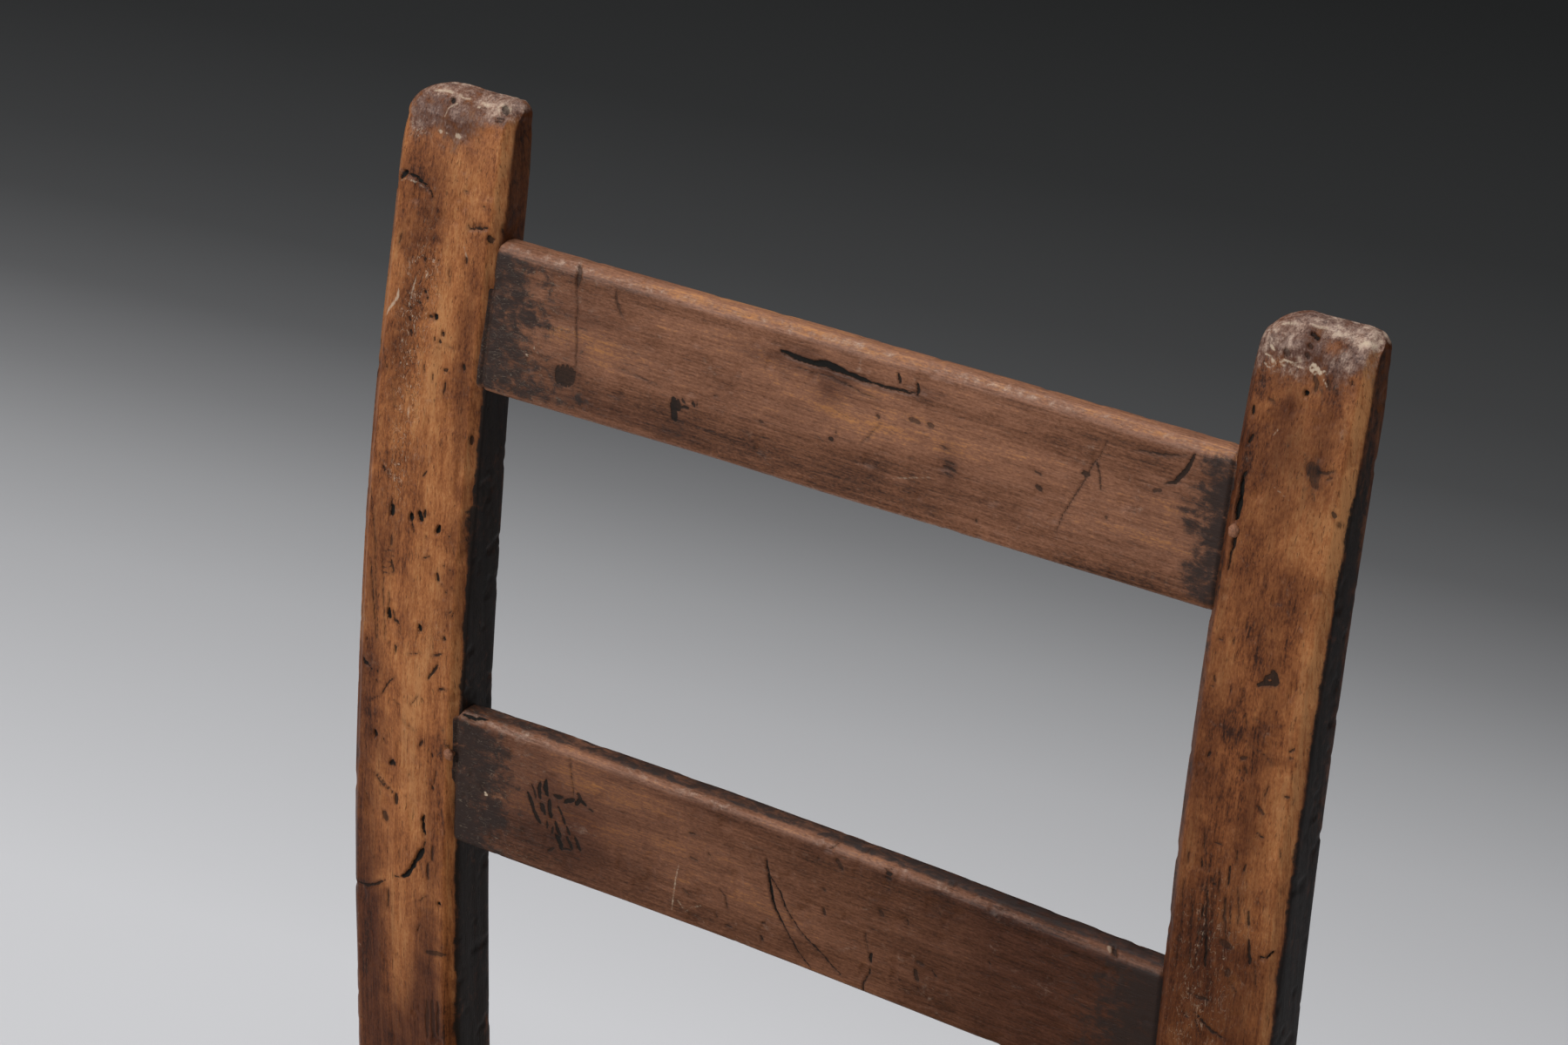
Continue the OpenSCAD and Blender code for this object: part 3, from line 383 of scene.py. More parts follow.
# Pale scuffs, grouped by (width, strength), drawn in the same way
SCUFFS = {
    "left_post": {
        (0.5, 0.6): (
            (-19, 815.8, -15.8, 817.5, -11.2, 816.9, -7.8, 815.8),
            (-1.6, 844.2, -3.2, 843.3, -4.4, 842.3, -4.8, 839.6),
        ),
        (0.5, 0.8): (
            (-12.1, 845.8, -9, 846.2, -5, 846.3),
            (12.6, 845.8, 13.6, 846.6, 17.4, 846.2, 18.8, 844.9),
        ),
        (0.4, 0.7): ((-3.6, 846.4, -1, 845.8, 1.8, 846.1), (13, 845.9, 15, 844.3, 15.6, 843.5)),
        (0.6, 0.6): (
            (5.8, 846.2, 7.6, 845.8, 9.8, 845.7), (-7.6, 787.6, -8.4, 784, -9.4, 777.4),
        ),
        (0.3, 0.5): ((16, 846.2, 18.2, 844.9),),
        (1.2, 0.7): ((-5.8, 834.9, -5, 834.6),),
        (0.7, 0.7): ((-3.1, 834.7, -2.7, 834.4), (6, 844.9, 6.4, 844.9)),
        (1.5, 0.7): ((1, 835, 2.3, 834.6),),
        (0.7, 0.5): ((-13, 834.3, -12.6, 833.7),),
        (0.6, 0.5): (
            (-16.8, 835.4, -16.4, 834.6), (-14.6, 833.6, -14.2, 833.2), (-5.6, 745.4, -5.2, 741),
            (9.5, 802, 11.5, 797),
        ),
        (1, 0.7): ((-14.3, 781.9, -14.3, 779.1, -16.4, 775.9, -19.2, 771.9),),
    },
    "right_post": {
        (0.5, 0.9): ((-13, 847.3, -11.5, 847.7, -8.6, 848.2),),
        (0.5, 0.6): ((-4, 848.8, -1, 848.6, 1.6, 848.8),),
        (0.8, 0.9): ((-14.2, 841.3, -12.3, 839.9), (-9.8, 837.2, -8, 836.4)),
        (0.7, 0.95): ((-15.4, 838.7, -13, 837.7, -10.9, 836.8),),
        (0.6, 0.8): ((-14.6, 836, -13, 835, -10.8, 834.2),),
        (0.6, 0.7): ((-12.6, 837, -11.4, 835.8),),
        (0.8, 0.95): ((-9, 838.2, -6.2, 837.9, -3.4, 837.4, -1.6, 837),),
        (1.4, 0.95): ((0.3, 839.2, 1.8, 838.4, 3.7, 837),),
        (0.9, 0.9): ((-0.4, 838, 1.2, 837, 2, 836.2),),
        (0.5, 0.8): ((3.8, 838.4, 5.3, 837.5), (4.3, 836.2, 6.1, 834.1)),
        (1, 0.4): ((-4.4, 839.9, -3.5, 838.9),),
        (1.5, 0.7): ((-15.5, 787.5, -14.7, 786.4),),
        (0.4, 0.5): ((-6.3, 818.7, -7.6, 816.3),),
        (0.4, 0.4): ((-5.4, 802.5, 0.8, 799.6), (1.7, 652.6, 3.4, 650.9)),
    },
    "upper_slat": {
        (0.8, 0.7): ((-117.4, -8.8, -117, -9.1),),
        (0.5, 0.6): ((-114.8, -5.6, -114.7, -6.3),),
        (0.5, 0.4): ((20, -13.7, 34, -9.7),),
    },
    "lower_slat": {
        (1.2, 0.35): ((112, 24.4, 113.6, 23),),
        (1.1, 0.9): ((-120.9, -2.4, -120.3, -2.7),),
        (0.5, 0.6): ((-44.7, -3.1, -45.6, -8.9, -46.3, -20.4),),
        (0.4, 0.5): ((-44.2, -16.1, -40.9, -19.2, -39, -16.9),),
        (0.4, 0.4): ((-39, -16.9, -34.8, -14.7),),
    },
}
# Soft oval spots of each tone: (across, up, half width, half height, strength)
SPOTS = {
    "left_post": {
        "stain": (
            (2, 840, 8, 4, 0.15), (16.9, 630.5, 3.2, 12, 0.5), (-12, 744, 2.5, 12, 0.35),
            (-14, 604, 3, 3, 0.25), (-13.9, 765.7, 1.7, 1.7, 0.45),
        ),
        "umber": (
            (-11, 824, 8, 8, 0.3), (-12, 800, 9, 12, 0.35), (-10, 760, 5, 26, 0.45),
            (2, 838, 7, 5, 0.5), (-8, 840, 5, 4, 0.25), (-3, 812, 5, 14, 0.35),
            (14, 768, 3.5, 26, 0.4), (-14, 690, 6, 22, 0.3), (-17, 600, 8, 60, 0.5),
            (13, 590, 4, 30, 0.4), (-14, 548, 9, 30, 0.75), (10, 537, 7, 28, 0.75),
            (0, 505, 24, 26, 0.9), (16, 720, 3, 60, 0.3), (-16, 640, 7, 60, 0.15),
        ),
        "honey": (
            (5, 780, 5, 36, 0.6), (6, 720, 5, 50, 0.65), (5, 650, 5, 45, 0.35),
            (0, 620, 6, 26, 0.4), (-2, 560, 4, 22, 0.4), (13, 818, 4, 18, 0.55),
            (-19, 828, 3, 5, 0.45), (-4, 640, 10, 90, 0.2),
        ),
        "worm": (
            (-7, 768, 6, 30, 1), (-8, 722, 5, 14, 0.7), (-2, 790, 6, 10, 0.4),
            (10, 668, 8, 10, 0.3),
        ),
        "crust": (
            (-8, 846.4, 5, 1.1, 0.5), (8, 846, 4, 1, 0.4), (14, 846, 5, 1.4, 0.3),
            (10, 843.5, 4, 1.2, 0.25), (-19, 836, 3, 5, 0.45), (-14, 834, 3, 2, 0.2),
            (14, 834.5, 3, 3, 0.35), (0, 846, 20, 0.8, 0.15),
        ),
        "thin": ((14, 835, 5, 4, 0.85), (17, 826, 4, 8, 0.5)),
        "fleck": ((-14, 834, 5, 3, 0.8), (-6, 846, 8, 1.5, 0.7)),
    },
    "right_post": {
        "stain": (
            (6.5, 809, 4.5, 5.5, 0.6), (5, 833, 4, 3, 0.35), (-17.5, 770, 2.5, 20, 0.4),
            (8, 800, 4, 14, 0.15), (3.5, 746, 3, 2, 0.3), (-1, 815, 4, 4, 0.3),
            (8.3, 722, 2, 3.6, 0.35), (7, 712, 2, 9, 0.22), (-2, 560, 12, 30, 0.16),
            (0, 668, 5, 13, 0.34), (-19, 690, 2, 55, 0.3),
        ),
        "umber": (
            (-4, 812, 7, 18, 0.48), (8, 815, 5, 18, 0.42), (0, 780, 8, 24, 0.15),
            (4, 715, 3, 30, 0.2), (0, 660, 6, 36, 0.22), (-6, 842, 6, 4, 0.35),
            (2, 841, 5, 4, 0.35), (-4, 826, 2.5, 5, 0.35), (-12, 690, 6, 60, 0.15),
            (0, 640, 16, 26, 0.6), (-2, 590, 20, 30, 1), (-2, 545, 24, 40, 1),
            (0, 520, 24, 40, 0.4), (-17, 790, 3, 40, 0.25), (-16, 700, 5, 90, 0.2),
            (5, 700, 4, 16, 0.2),
        ),
        "honey": (
            (-9, 800, 4, 16, 0.35), (-10, 745, 5, 40, 0.4), (13, 828, 4, 10, 0.7),
            (6, 690, 5, 30, 0.2), (14, 750, 3.4, 60, 0.75), (14, 660, 3.4, 70, 0.65),
            (-14, 700, 3, 70, 0.25), (5.8, 844.6, 2.6, 2.4, 0.7), (9, 845.6, 1.5, 1.2, 0.3),
        ),
        "worm": ((-2, 660, 12, 22, 0.5), (-6, 630, 8, 12, 0.6)),
        "crust": (
            (5, 848.4, 2.5, 0.9, 0.5), (10, 848.4, 4, 1.1, 0.7), (15, 848, 3, 1.3, 0.7),
            (11.5, 840, 2.4, 1.8, 0.35), (-14, 844, 4, 3, 0.2), (-3.9, 839.5, 1.4, 1.6, 0.5),
            (18, 844, 2, 3, 0.3), (-6, 843, 8, 3, 0.1),
        ),
        "thin": (
            (5.8, 844.6, 2.6, 2.4, 0.8), (9, 845.6, 1.8, 1.4, 0.4), (16, 836.5, 3, 4, 0.7),
            (-14, 845, 4, 3, 0.4),
        ),
        "fleck": ((-8, 838, 10, 4, 0.5), (10, 848, 12, 3, 0.6)),
    },
    "upper_slat": {
        "stain": (
            (-94.5, 17, 2.6, 3, 0.4), (-94, 8, 2.2, 2, 0.3), (-95, -3, 2.4, 1.6, 0.35),
            (-96, -18, 5, 2, 0.35), (-63, -19, 3, 2.5, 0.5), (-57, -18, 3, 3, 0.5),
            (-60, -9, 5, 5, 0.2), (39.5, -4.5, 3, 4, 0.45), (37, 0.5, 3, 1.5, 0.3),
            (40.3, 6.1, 2, 1, 0.3), (-75, -21, 36, 2.5, 0.2), (-44.9, -1, 2, 3, 0.3),
            (-67, 5, 3, 4, 0.2), (-6, -2.4, 3, 1.4, 0.35), (-6.5, -7.8, 3, 1.5, 0.35),
            (119, 4, 3, 4, 0.35), (121.5, -1, 3, 2, 0.4), (114.7, 0, 1, 8, 0.25),
            (124, -16, 4, 3, 0.35),
        ),
        "umber": (
            (-98, 4, 18, 16, 0.22), (39, -4, 5, 8, 0.3), (-75, -19, 40, 5, 0.35),
            (-5, 8, 6, 6, 0.45), (-30, 13, 12, 3, 0.35), (30, 16, 8, 2, 0.3),
            (-16, 17.5, 6, 2, 0.3), (-6, 13, 16, 4, 0.25), (-20, -4, 50, 10, 0.12),
            (30, -14, 60, 5, 0.1), (116, 0, 12, 20, 0.15),
        ),
        "honey": (
            (-106, -1, 5, 4, 0.4), (-85, -2, 14, 10, 0.4), (-119, 8, 3, 4, 0.35),
            (64, 8, 60, 12, 0.25), (11, 11, 6, 2, 0.5), (20, 2, 50, 10, 0.12),
            (100, -8, 26, 10, 0.35),
        ),
    },
    "lower_slat": {
        "stain": (
            (-97, 1, 7, 9, 0.25), (-88, -8, 6, 8, 0.25), (-100, 19, 6, 2.5, 0.45),
            (-106, -12, 6, 3, 0.4), (-116, 10, 6, 5, 0.3), (-78, 12, 8, 3, 0.2),
            (-28, 12, 8, 10, 0.15), (30, -2, 6, 6, 0.15),
        ),
        "umber": ((-92, -4, 24, 16, 0.45), (20, 20, 110, 3, 0.15)),
        "honey": ((-34, -10, 34, 9, 0.25), (0, 8, 50, 8, 0.18), (-58, 14, 34, 5, 0.35)),
    },
}
# The tones of worn wood, as the finish reads them; on the slats' rounded edges the honey, patina
# and crust tones also paint a highlight
TONES = ("stain", "umber", "honey", "patina", "worm", "fleck", "crust")
# No mark is felt farther away than this
CLEAR = 3.0
# How far the dressed posts and slats stand proud of their worn level
PROUD = 0.3
# A ring of a back post's surface well below its rounded top
PLAIN_RING = 300
# Arc length from which a back post has close rings, for its marks
CLOSE_RINGS_FROM = 512.0
# How much of the tenon at each end a dressed stretcher leaves out
HIDDEN_END = 14.0
# Height over which the wear of a foot fades out towards the floor
FLAT_FOOT = 4.0
# How far the nails' heads stand out from the posts
NAIL_LIFT = 0.9
# Shift of the twist from one cord to the next, for each millimetre between them
TWIST_SHIFT = 37.0
# From the outside of the legs in to the outer face of a side rail, square to it
RAIL_INSET = 6.5
# From the outside of the legs in to the stuffing
STUFFING_INSET = 33.4


def side_line(side, y):
    """How far the outside of the chair lies from its middle at a place y, on the straight
    line from front leg to back post, and how fast it moves out along y."""
    wide, leg_y = LEG_BOX[RIGHT][1][0], LEG_BOX[RIGHT][0][1]
    narrow = abs(POST_BOX[side][0 if side == LEFT else 1][0])
    slope = (narrow - wide) / (POST_BOX[RIGHT][0][1] - leg_y)
    return wide + slope * (y - leg_y), slope


def length(label, about, value, low=0.0, high=2.0):
    """A length in metres that the panel shows in the scene's own units."""
    return FloatProperty(name=label, description=about, default=value, min=low, max=high,
                         precision=4, subtype="DISTANCE", unit="LENGTH")


def in_degrees(label, about, degrees):
    """An angle that the panel shows in degrees."""
    return FloatProperty(name=label, description=about, default=math.radians(degrees),
                         subtype="ANGLE")


def wattage(label, about, value):
    """The power of a light."""
    return FloatProperty(name=label, description=about, default=value, min=0.0, unit="POWER")


def tint(label, about, value):
    """A colour in linear values."""
    return FloatVectorProperty(name=label, description=about, default=value, min=0.0,
                               max=1.0, size=3, subtype="COLOR")


class ChairPostSizes(bpy.types.PropertyGroup):
    """Sizes of the bent back posts and the square front legs."""
    height: length("Post height", "Top of the post on the right", 0.850)
    left_drop: length("Left post drop", "How much lower the post on the left ends", 0.0026)
    depth: length("Post thickness", "Front to back, below the bend", 0.0245)
    bend_start: length("Bend start", "Height at which the front face bends back", 0.532)
    bend_radius: length("Bend radius", "Radius of the front face's bend", 1.216)
    rear_start: length("Rear bend start", "Height at which the rear face bends back", 0.520)
    rear_radius: length("Rear bend radius", "Radius of the rear face's bend", 1.631)
    chamfer: length("Post chamfer", "Worn chamfer along the posts' edges", 0.0035)
    front_round: length("Front rounding", "Rounding of the front of a post's top", 0.011)
    rear_round: length("Rear rounding", "Rounding of the rear of a post's top", 0.004)
    left_round: length("Left rounding", "Rounding of a top's left corner", 0.013)
    right_round: length("Right rounding", "Rounding of a top's right corner", 0.006)
    leg_chamfer: length("Leg chamfer", "Worn chamfer along the legs' edges", 0.003)
    leg_round: length("Leg top rounding", "Rounding of the front legs' tops", 0.006)
    wear: length("Wear", "How far the hewn and worn surface lies under the sharp form",
                 0.00035, 0.0, 0.002)


class ChairSlatSizes(bpy.types.PropertyGroup):
    """Sizes of the two back slats and of the nails that hold them."""
    thickness: length("Slat thickness", "Front to back", 0.012)
    recess: length("Recess", "How far the slats lie behind the posts' faces", 0.002)
    top_round: length("Top edge", "Rounding of the slats' top edges", 0.0045)
    low_round: length("Bottom edge", "Rounding of the slats' bottom edges", 0.0025)
    upper_middle: length("Upper slat height", "Middle of the upper slat", 0.7828)
    upper_depth: length("Upper slat depth", "Edge to edge", 0.050)
    upper_bow: length("Upper slat bow", "How far its middle is bowed back", 0.0008)
    upper_tilt: in_degrees("Upper slat tilt", "Rise to the right", 0.6)
    lower_middle: length("Lower slat height", "Middle of the lower slat", 0.6204)
    lower_depth: length("Lower slat depth", "Edge to edge", 0.049)
    lower_bow: length("Lower slat bow", "How far its middle is bowed back", 0.003)
    lower_tilt: in_degrees("Lower slat tilt", "Rise to the right", -0.5)
    bite: length("Bite", "How far the dressed slats run into the posts", 0.004)
    nail_head: length("Nail head", "Diameter of a nail's head", 0.004)
    upper_nail: length("Right nail", "Height of the right nail over the upper slat's middle",
                       0.0033)
    lower_nail: length("Left nail", "Height of the left nail over the lower slat's middle",
                       0.0095)


class ChairSeatSizes(bpy.types.PropertyGroup):
    """Sizes of the woven seat."""
    top: length("Seat height", "Top of the weave", 0.440)
    cord: length("Cord", "Thickness of the seat cord", 0.0052)
    pitch: length("Cord spacing", "From one cord to the next", 0.005)
    gap: length("Weave gap", "Between the weave and what it wraps or meets", 0.0003)
    rail_height: length("Rail height", "Height of the rails that the weave wraps", 0.022)
    crown: length("Crown", "How far the stuffing lifts the middle of a run", 0.0022)
    dive: length("Dive", "How far the cords drop into the seams", 0.007)
    lay: length("Lay", "Length of one turn of the cord's two strands", 0.011)
    rings: IntProperty(name="Rings", description="Rings along each straight run",
                       default=26, min=8, max=80)


class ChairStretcherSizes(bpy.types.PropertyGroup):
    """Sizes of the stretchers' section."""
    height: length("Stretcher height", "Height of the section", 0.027)
    thickness: length("Stretcher thickness", "Thickness of the section", 0.015)
    chamfer: length("Stretcher chamfer", "Worn chamfer along the edges", 0.0025)


class ChairColours(bpy.types.PropertyGroup):
    """Colours of the finishes."""
    post_light: tint("Post, light", "Rubbed grain of the posts", (0.330, 0.122, 0.040))
    post_mid: tint("Post, middle", "Body colour of the posts", (0.190, 0.060, 0.018))
    post_dark: tint("Post, dark", "Dark grain of the posts", (0.040, 0.012, 0.005))
    slat_light: tint("Slat, light", "Rubbed grain of the slats", (0.255, 0.114, 0.064))
    slat_mid: tint("Slat, middle", "Body colour of the slats", (0.140, 0.056, 0.027))
    slat_dark: tint("Slat, dark", "Dark grain of the slats", (0.038, 0.015, 0.008))
    # Honey, patina and crust are worn and weathered wood, and on the slats' rounded edges also a
    # painted highlight
    honey: tint("Honey", "Freshly worn arrises", (0.430, 0.190, 0.070))
    stain: tint("Stain", "Blue-black stain of the sides and ends", (0.0095, 0.0072, 0.0062))
    umber: tint("Umber", "What brown stain leaves of the wood's colour", (0.29, 0.235, 0.225))
    slat_stain: tint("Slat stain", "Dark dirt at the slats' ends", (0.021, 0.013, 0.011))
    dusk: tint("Dusk", "Darkest grey of the handled tops", (0.085, 0.047, 0.038))
    patina: tint("Patina", "Grey bloom of the handled tops", (0.205, 0.130, 0.100))
    crust: tint("Crust", "Pale weathered places of the tops", (0.430, 0.315, 0.245))
    fibre: tint("Bare fibre", "Chipped and scuffed wood", (0.52, 0.41, 0.30))
    soot: tint("Soot", "Dirt in cracks and holes", (0.008, 0.007, 0.006))
    rust: tint("Rust", "Nail heads", (0.260, 0.105, 0.050))
    cord_light: tint("Cord, light", "Crowns of the seat cord", (0.52, 0.36, 0.17))
    # The cord's dark colour is partly painted shade in the hollows between its strands
    cord_dark: tint("Cord, dark", "Hollows of the seat cord", (0.20, 0.12, 0.05))
    straw: tint("Straw", "Stuffing of the seat", (0.48, 0.36, 0.17))
    floor_near: tint("Floor, near", "Floor round the chair", (0.62, 0.62, 0.635))
    # The floor's far colour is painted shade, the dark end of its painted falloff of light
    floor_far_painted_shade: tint("Floor, far", "Floor far behind the chair", (0.025, 0.026, 0.026))
    backdrop: tint("Backdrop", "What the camera sees beyond the floor", (0.0045, 0.0046, 0.0046))


class ChairStageSizes(bpy.types.PropertyGroup):
    """Camera and studio."""
    azimuth: in_degrees("Camera azimuth", "Round the chair from its front", 33.0)
    elevation: in_degrees("Camera elevation", "Above the level", 27.7)
    roll: in_degrees("Camera roll", "Turn about the line of sight", 1.0)
    distance: length("Camera distance", "From the aim point", 1.444151, 0.1, 10.0)
    aim: FloatVectorProperty(name="Aim", description="Point that the camera looks at",
                             default=(-0.001446, 0.15144, 0.758515), size=3,
                             subtype="TRANSLATION", unit="LENGTH")
    lens: FloatProperty(name="Lens", description="Focal length in millimetres",
                        default=109.292, min=10.0, max=300.0)
    floor_reach: length("Floor", "Half the width of the floor", 25.0, 5.0, 100.0)
    key_power: wattage("Key light", "Power of the main softbox", 95.0)
    fill_power: wattage("Fill light", "Power of the fill", 12.0)
    top_power: wattage("Top light", "Power of the overhead softbox", 35.0)
    ambient: FloatProperty(name="Ambient", description="Strength of the light all round",
                           default=0.22, min=0.0, max=1.0)


def value_names(group):
    """The names of a property group's own values."""
    return [name for name in group.bl_rna.properties.keys() if name not in ("rna_type", "name")]


def sizes_of(label):
    """One group of the panel: its lengths in millimetres, and its other values as they
    are."""
    group = getattr(bpy.context.scene, "chair_" + label)
    found = {}
    for name in value_names(group):
        prop, value = group.bl_rna.properties[name], getattr(group, name)
        found[name] = value * 1000 if prop.unit == "LENGTH" else value
    return SimpleNamespace(**found)


def lattice_noise(p, seed):
    """Smooth noise from -1 to 1: a hashed value at each corner of the unit lattice round
    a point, weighted by the eased distances to them."""
    cell = np.floor(p).astype(np.int64)
    t = p - cell
    t = t * t * t * (t * (t * 6 - 15) + 10)
    total = np.zeros(p.shape[:-1])
    for corner in np.ndindex(2, 2, 2):
        c = cell + np.array(corner)
        h = (c[..., 0] * 73856093) ^ (c[..., 1] * 19349663) ^ (c[..., 2] * 83492791)
        h = (h + seed * 374761393) & 0x7FFFFFFF
        h = ((h ^ (h >> 13)) * 1274126177) & 0x7FFFFFFF
        h = h ^ (h >> 16)
        weight = np.prod(np.where(np.array(corner) == 1, t, 1 - t), axis=-1)
        total += weight * ((h & 0xFFFF) / 32767.5 - 1)
    return total


def rough(p, pitch, seed, layers=3):
    """Layers of lattice noise over points in millimetres, each half as coarse and half as
    strong as the one before; pitch is the size of the largest lumps."""
    q = p / np.asarray(pitch, float)
    weights = 0.5 ** np.arange(layers)
    parts = [w * lattice_noise(q * 2 ** i, seed + i) for i, w in enumerate(weights)]
    return sum(parts) / weights.sum()


def lumps(p, pitch, seed, layers=3):
    """Layers of lattice noise, from 0 to 1."""
    return 0.5 + 0.5 * rough(p, pitch, seed, layers)


def ease(x, low, high):
    """0 below low, 1 above high, and a smooth step between them."""
    t = np.clip((x - low) / (high - low), 0, 1)
    return t * t * (3 - 2 * t)


def round_the_ring(points, passes):
    """Softens a grid round its closed columns: each point moves half way to the middle
    of its two neighbours, several times over."""
    for _ in range(passes):
        points = (np.roll(points, 1, -2) + 2 * points + np.roll(points, -1, -2)) / 4
    return points


def normals_of(points):
    """Unit normals of a grid with closed columns: the cross product of its differences
    round and along, turned so that on the whole they point out of the solid."""
    along = np.gradient(points, axis=-3)
    around = np.roll(points, -1, -2) - np.roll(points, 1, -2)
    n = np.cross(around, along)
    n /= np.maximum(np.linalg.norm(n, axis=-1, keepdims=True), 1e-12)
    middle = points.mean(axis=-2, keepdims=True)
    outward = (n * (points - middle)).sum()
    return n if outward >= 0 else -n


def path_gap(x, z, points):
    """Distance from each place (x, z) to the nearest point of a broken line, and how far
    along the line that point is, from 0 to 1."""
    line = np.asarray(points, float)
    start, step = line[:-1], np.diff(line, axis=0)
    spans = np.linalg.norm(step, axis=1)
    away = np.stack([x, z], -1)[..., None, :] - start
    share = np.clip((away * step).sum(-1) / (step * step).sum(-1), 0, 1)
    gaps = np.linalg.norm(away - share[..., None] * step, axis=-1)
    nearest = gaps.argmin(-1)[..., None]
    travelled = (np.cumsum(spans) - spans + share * spans) / spans.sum()
    return (np.take_along_axis(gaps, nearest, -1)[..., 0],
            np.take_along_axis(travelled, nearest, -1)[..., 0])


def outlines(x, z, strokes):
    """Distance from each place to the outline of the nearest stroke, less than 0 inside
    it, and that stroke's strength. A long stroke is full in its middle and narrows to a
    third at its ends; a dot stays round. Each stroke is (width, strength, points)."""
    gap = np.full(x.shape, CLEAR)
    strength = np.zeros(x.shape)
    for width, power, points in strokes:
        line = np.asarray(points)
        low, high = line.min(0) - CLEAR - width, line.max(0) + CLEAR + width
        near = (x > low[0]) & (x < high[0]) & (z > low[1]) & (z < high[1])
        away, share = path_gap(x[near], z[near], points)
        slim = min(np.linalg.norm(np.diff(line, axis=0), axis=1).sum() / (4 * width), 1)
        half = width * (0.5 - 0.33 * slim * (1 - np.sin(math.pi * share) ** 0.5))
        away = away - half
        closer = away < gap[near]
        gap[near] = np.where(closer, away, gap[near])
        strength[near] = np.where(closer, power, strength[near])
    return gap, strength


def lines_of(table):
    """The lines of a grouped table, each with the values of its group and its points."""
    return [(*values, list(zip(line[::2], line[1::2])))
            for values, lines in table.items() for line in lines]


def score(x, z, marks):
    """Depth of the marks at each place, their outlines' distance and their darkness."""
    wobble = np.stack([x, z, 0 * x], -1)
    x = x + 0.3 * rough(wobble, 2.2, 51, 2)
    z = z + 0.3 * rough(wobble, 2.2, 57, 2)
    gap, dark = outlines(x, z, [(width, black, line) for width, _, black, line in marks])
    _, deep = outlines(x, z, [(width, depth, line) for width, depth, _, line in marks])
    return deep * (1 - ease(gap, -0.25, 0.35)), gap, dark


def carved(piece, x, z, facing):
    """Depth of a piece's marks at each place, and what its finish reads of its marks and
    scuffs, as far as the surface faces the front."""
    depth, mark, dark = score(x, z, lines_of(MARKS[piece]))
    chip, pale = outlines(x, z, lines_of(SCUFFS[piece]))
    away = CLEAR * (1 - facing)
    return depth * facing, {"mark": mark + away, "dark": dark, "chip": chip + away,
                            "pale": pale}


def patch(x, z, rows):
    """Soft oval spots, each (x, z, half width, half height, strength), added up to 1."""
    total = np.zeros(x.shape)
    for x0, z0, wide, high, strength in rows:
        total += strength * np.exp(-((x - x0) / wide) ** 2 - ((z - z0) / high) ** 2)
    return np.clip(total, 0, 1)


def spots_on(piece, x, z):
    """The soft spots of each tone of a piece."""
    return SimpleNamespace(**{tone: patch(x, z, rows) for tone, rows in SPOTS[piece].items()})


def clipped(**tones):
    """Tones held between 0 and 1."""
    return {label: np.clip(values, 0, 1) for label, values in tones.items()}


def edge_columns(counts):
    """The share of each of eight corner points in each column of a section, when the
    eight sides between them are divided into these counts of equal steps."""
    rows = []
    for side, count in enumerate(counts):
        t = np.arange(count) / count
        row = np.zeros((count, 8))
        row[:, side] = 1 - t
        row[:, (side + 1) % 8] = t
        rows.append(row)
    return np.vstack(rows)


def chamfered(x0, x1, y0, y1, chamfer, counts):
    """Sections with their corners cut off, one for each value of the five arrays, from
    the front left corner towards the right, as arrays of x and y."""
    c = np.minimum(chamfer, 0.3 * np.minimum(x1 - x0, y1 - y0))
    xs = np.stack([x0 + c, x1 - c, x1, x1, x1 - c, x0 + c, x0, x0], -1)
    ys = np.stack([y0, y0, y0 + c, y1 - c, y1, y1, y1 - c, y0 + c], -1)
    share = edge_columns(counts).T
    return xs @ share, ys @ share


def drawn_in(radius, below):
    """How far a rounding of this radius has drawn a face in at a distance below the top."""
    rest = np.clip(radius - below, 0, radius)
    return radius - np.sqrt(np.maximum(radius * radius - rest * rest, 0))


def build(name, points, finish, attributes=None, uv=None, replaces=()):
    """Writes surfaces of rings and closed columns, in millimetres, as one mesh in metres:
    each ring joins the next with quads, and the two end rings close on their middles."""
    points = points if points.ndim == 4 else points[None]
    count, rings, columns = points.shape[:3]
    index = np.arange(count * rings * columns).reshape(count, rings, columns)
    after = np.roll(index, -1, 2)
    quads = np.stack([index[:, :-1], after[:, :-1], after[:, 1:], index[:, 1:]], -1)
    poles = index.size + np.arange(2 * count).reshape(2, count, 1)
    poles = np.broadcast_to(poles, (2, count, columns))
    low = np.stack([after[:, 0], index[:, 0], poles[0]], -1).reshape(-1, 3)
    high = np.stack([index[:, -1], after[:, -1], poles[1]], -1).reshape(-1, 3)
    places = np.vstack([points.reshape(-1, 3), points[:, 0].mean(1), points[:, -1].mean(1)])
    quads = quads.reshape(-1, 4)
    corner = places[quads]
    volume = np.einsum("ij,ij->", corner[:, 0], np.cross(corner[:, 1], corner[:, 2]))
    volume += np.einsum("ij,ij->", corner[:, 0], np.cross(corner[:, 2], corner[:, 3]))
    turned = volume < 0
    faces = [f[:, ::-1] if turned else f for f in (quads, low, high)]
    mesh = bpy.data.meshes.new(name)
    mesh.from_pydata((places * 0.001).tolist(), [], sum((f.tolist() for f in faces), []))
    mesh.polygons.foreach_set("use_smooth", np.ones(len(mesh.polygons), bool))
    for label, values in (attributes or {}).items():
        values = values.reshape(count, rings, columns)
        ends = [values[:, 0].mean(1), values[:, -1].mean(1)]
        layer = mesh.attributes.new(label, "FLOAT", "POINT")
        flat = np.concatenate([values.ravel(), *ends]).astype(np.float32)
        layer.data.foreach_set("value", flat)
    if uv is not None:
        write_uv(mesh, uv, quads, low, high, turned)
    mesh.update()
    mesh.materials.append(finish)
    piece = bpy.data.objects.new(name, mesh)
    bpy.context.scene.collection.objects.link(piece)
    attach(piece, "root")
    if replaces:
        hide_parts(*replaces)
    return piece


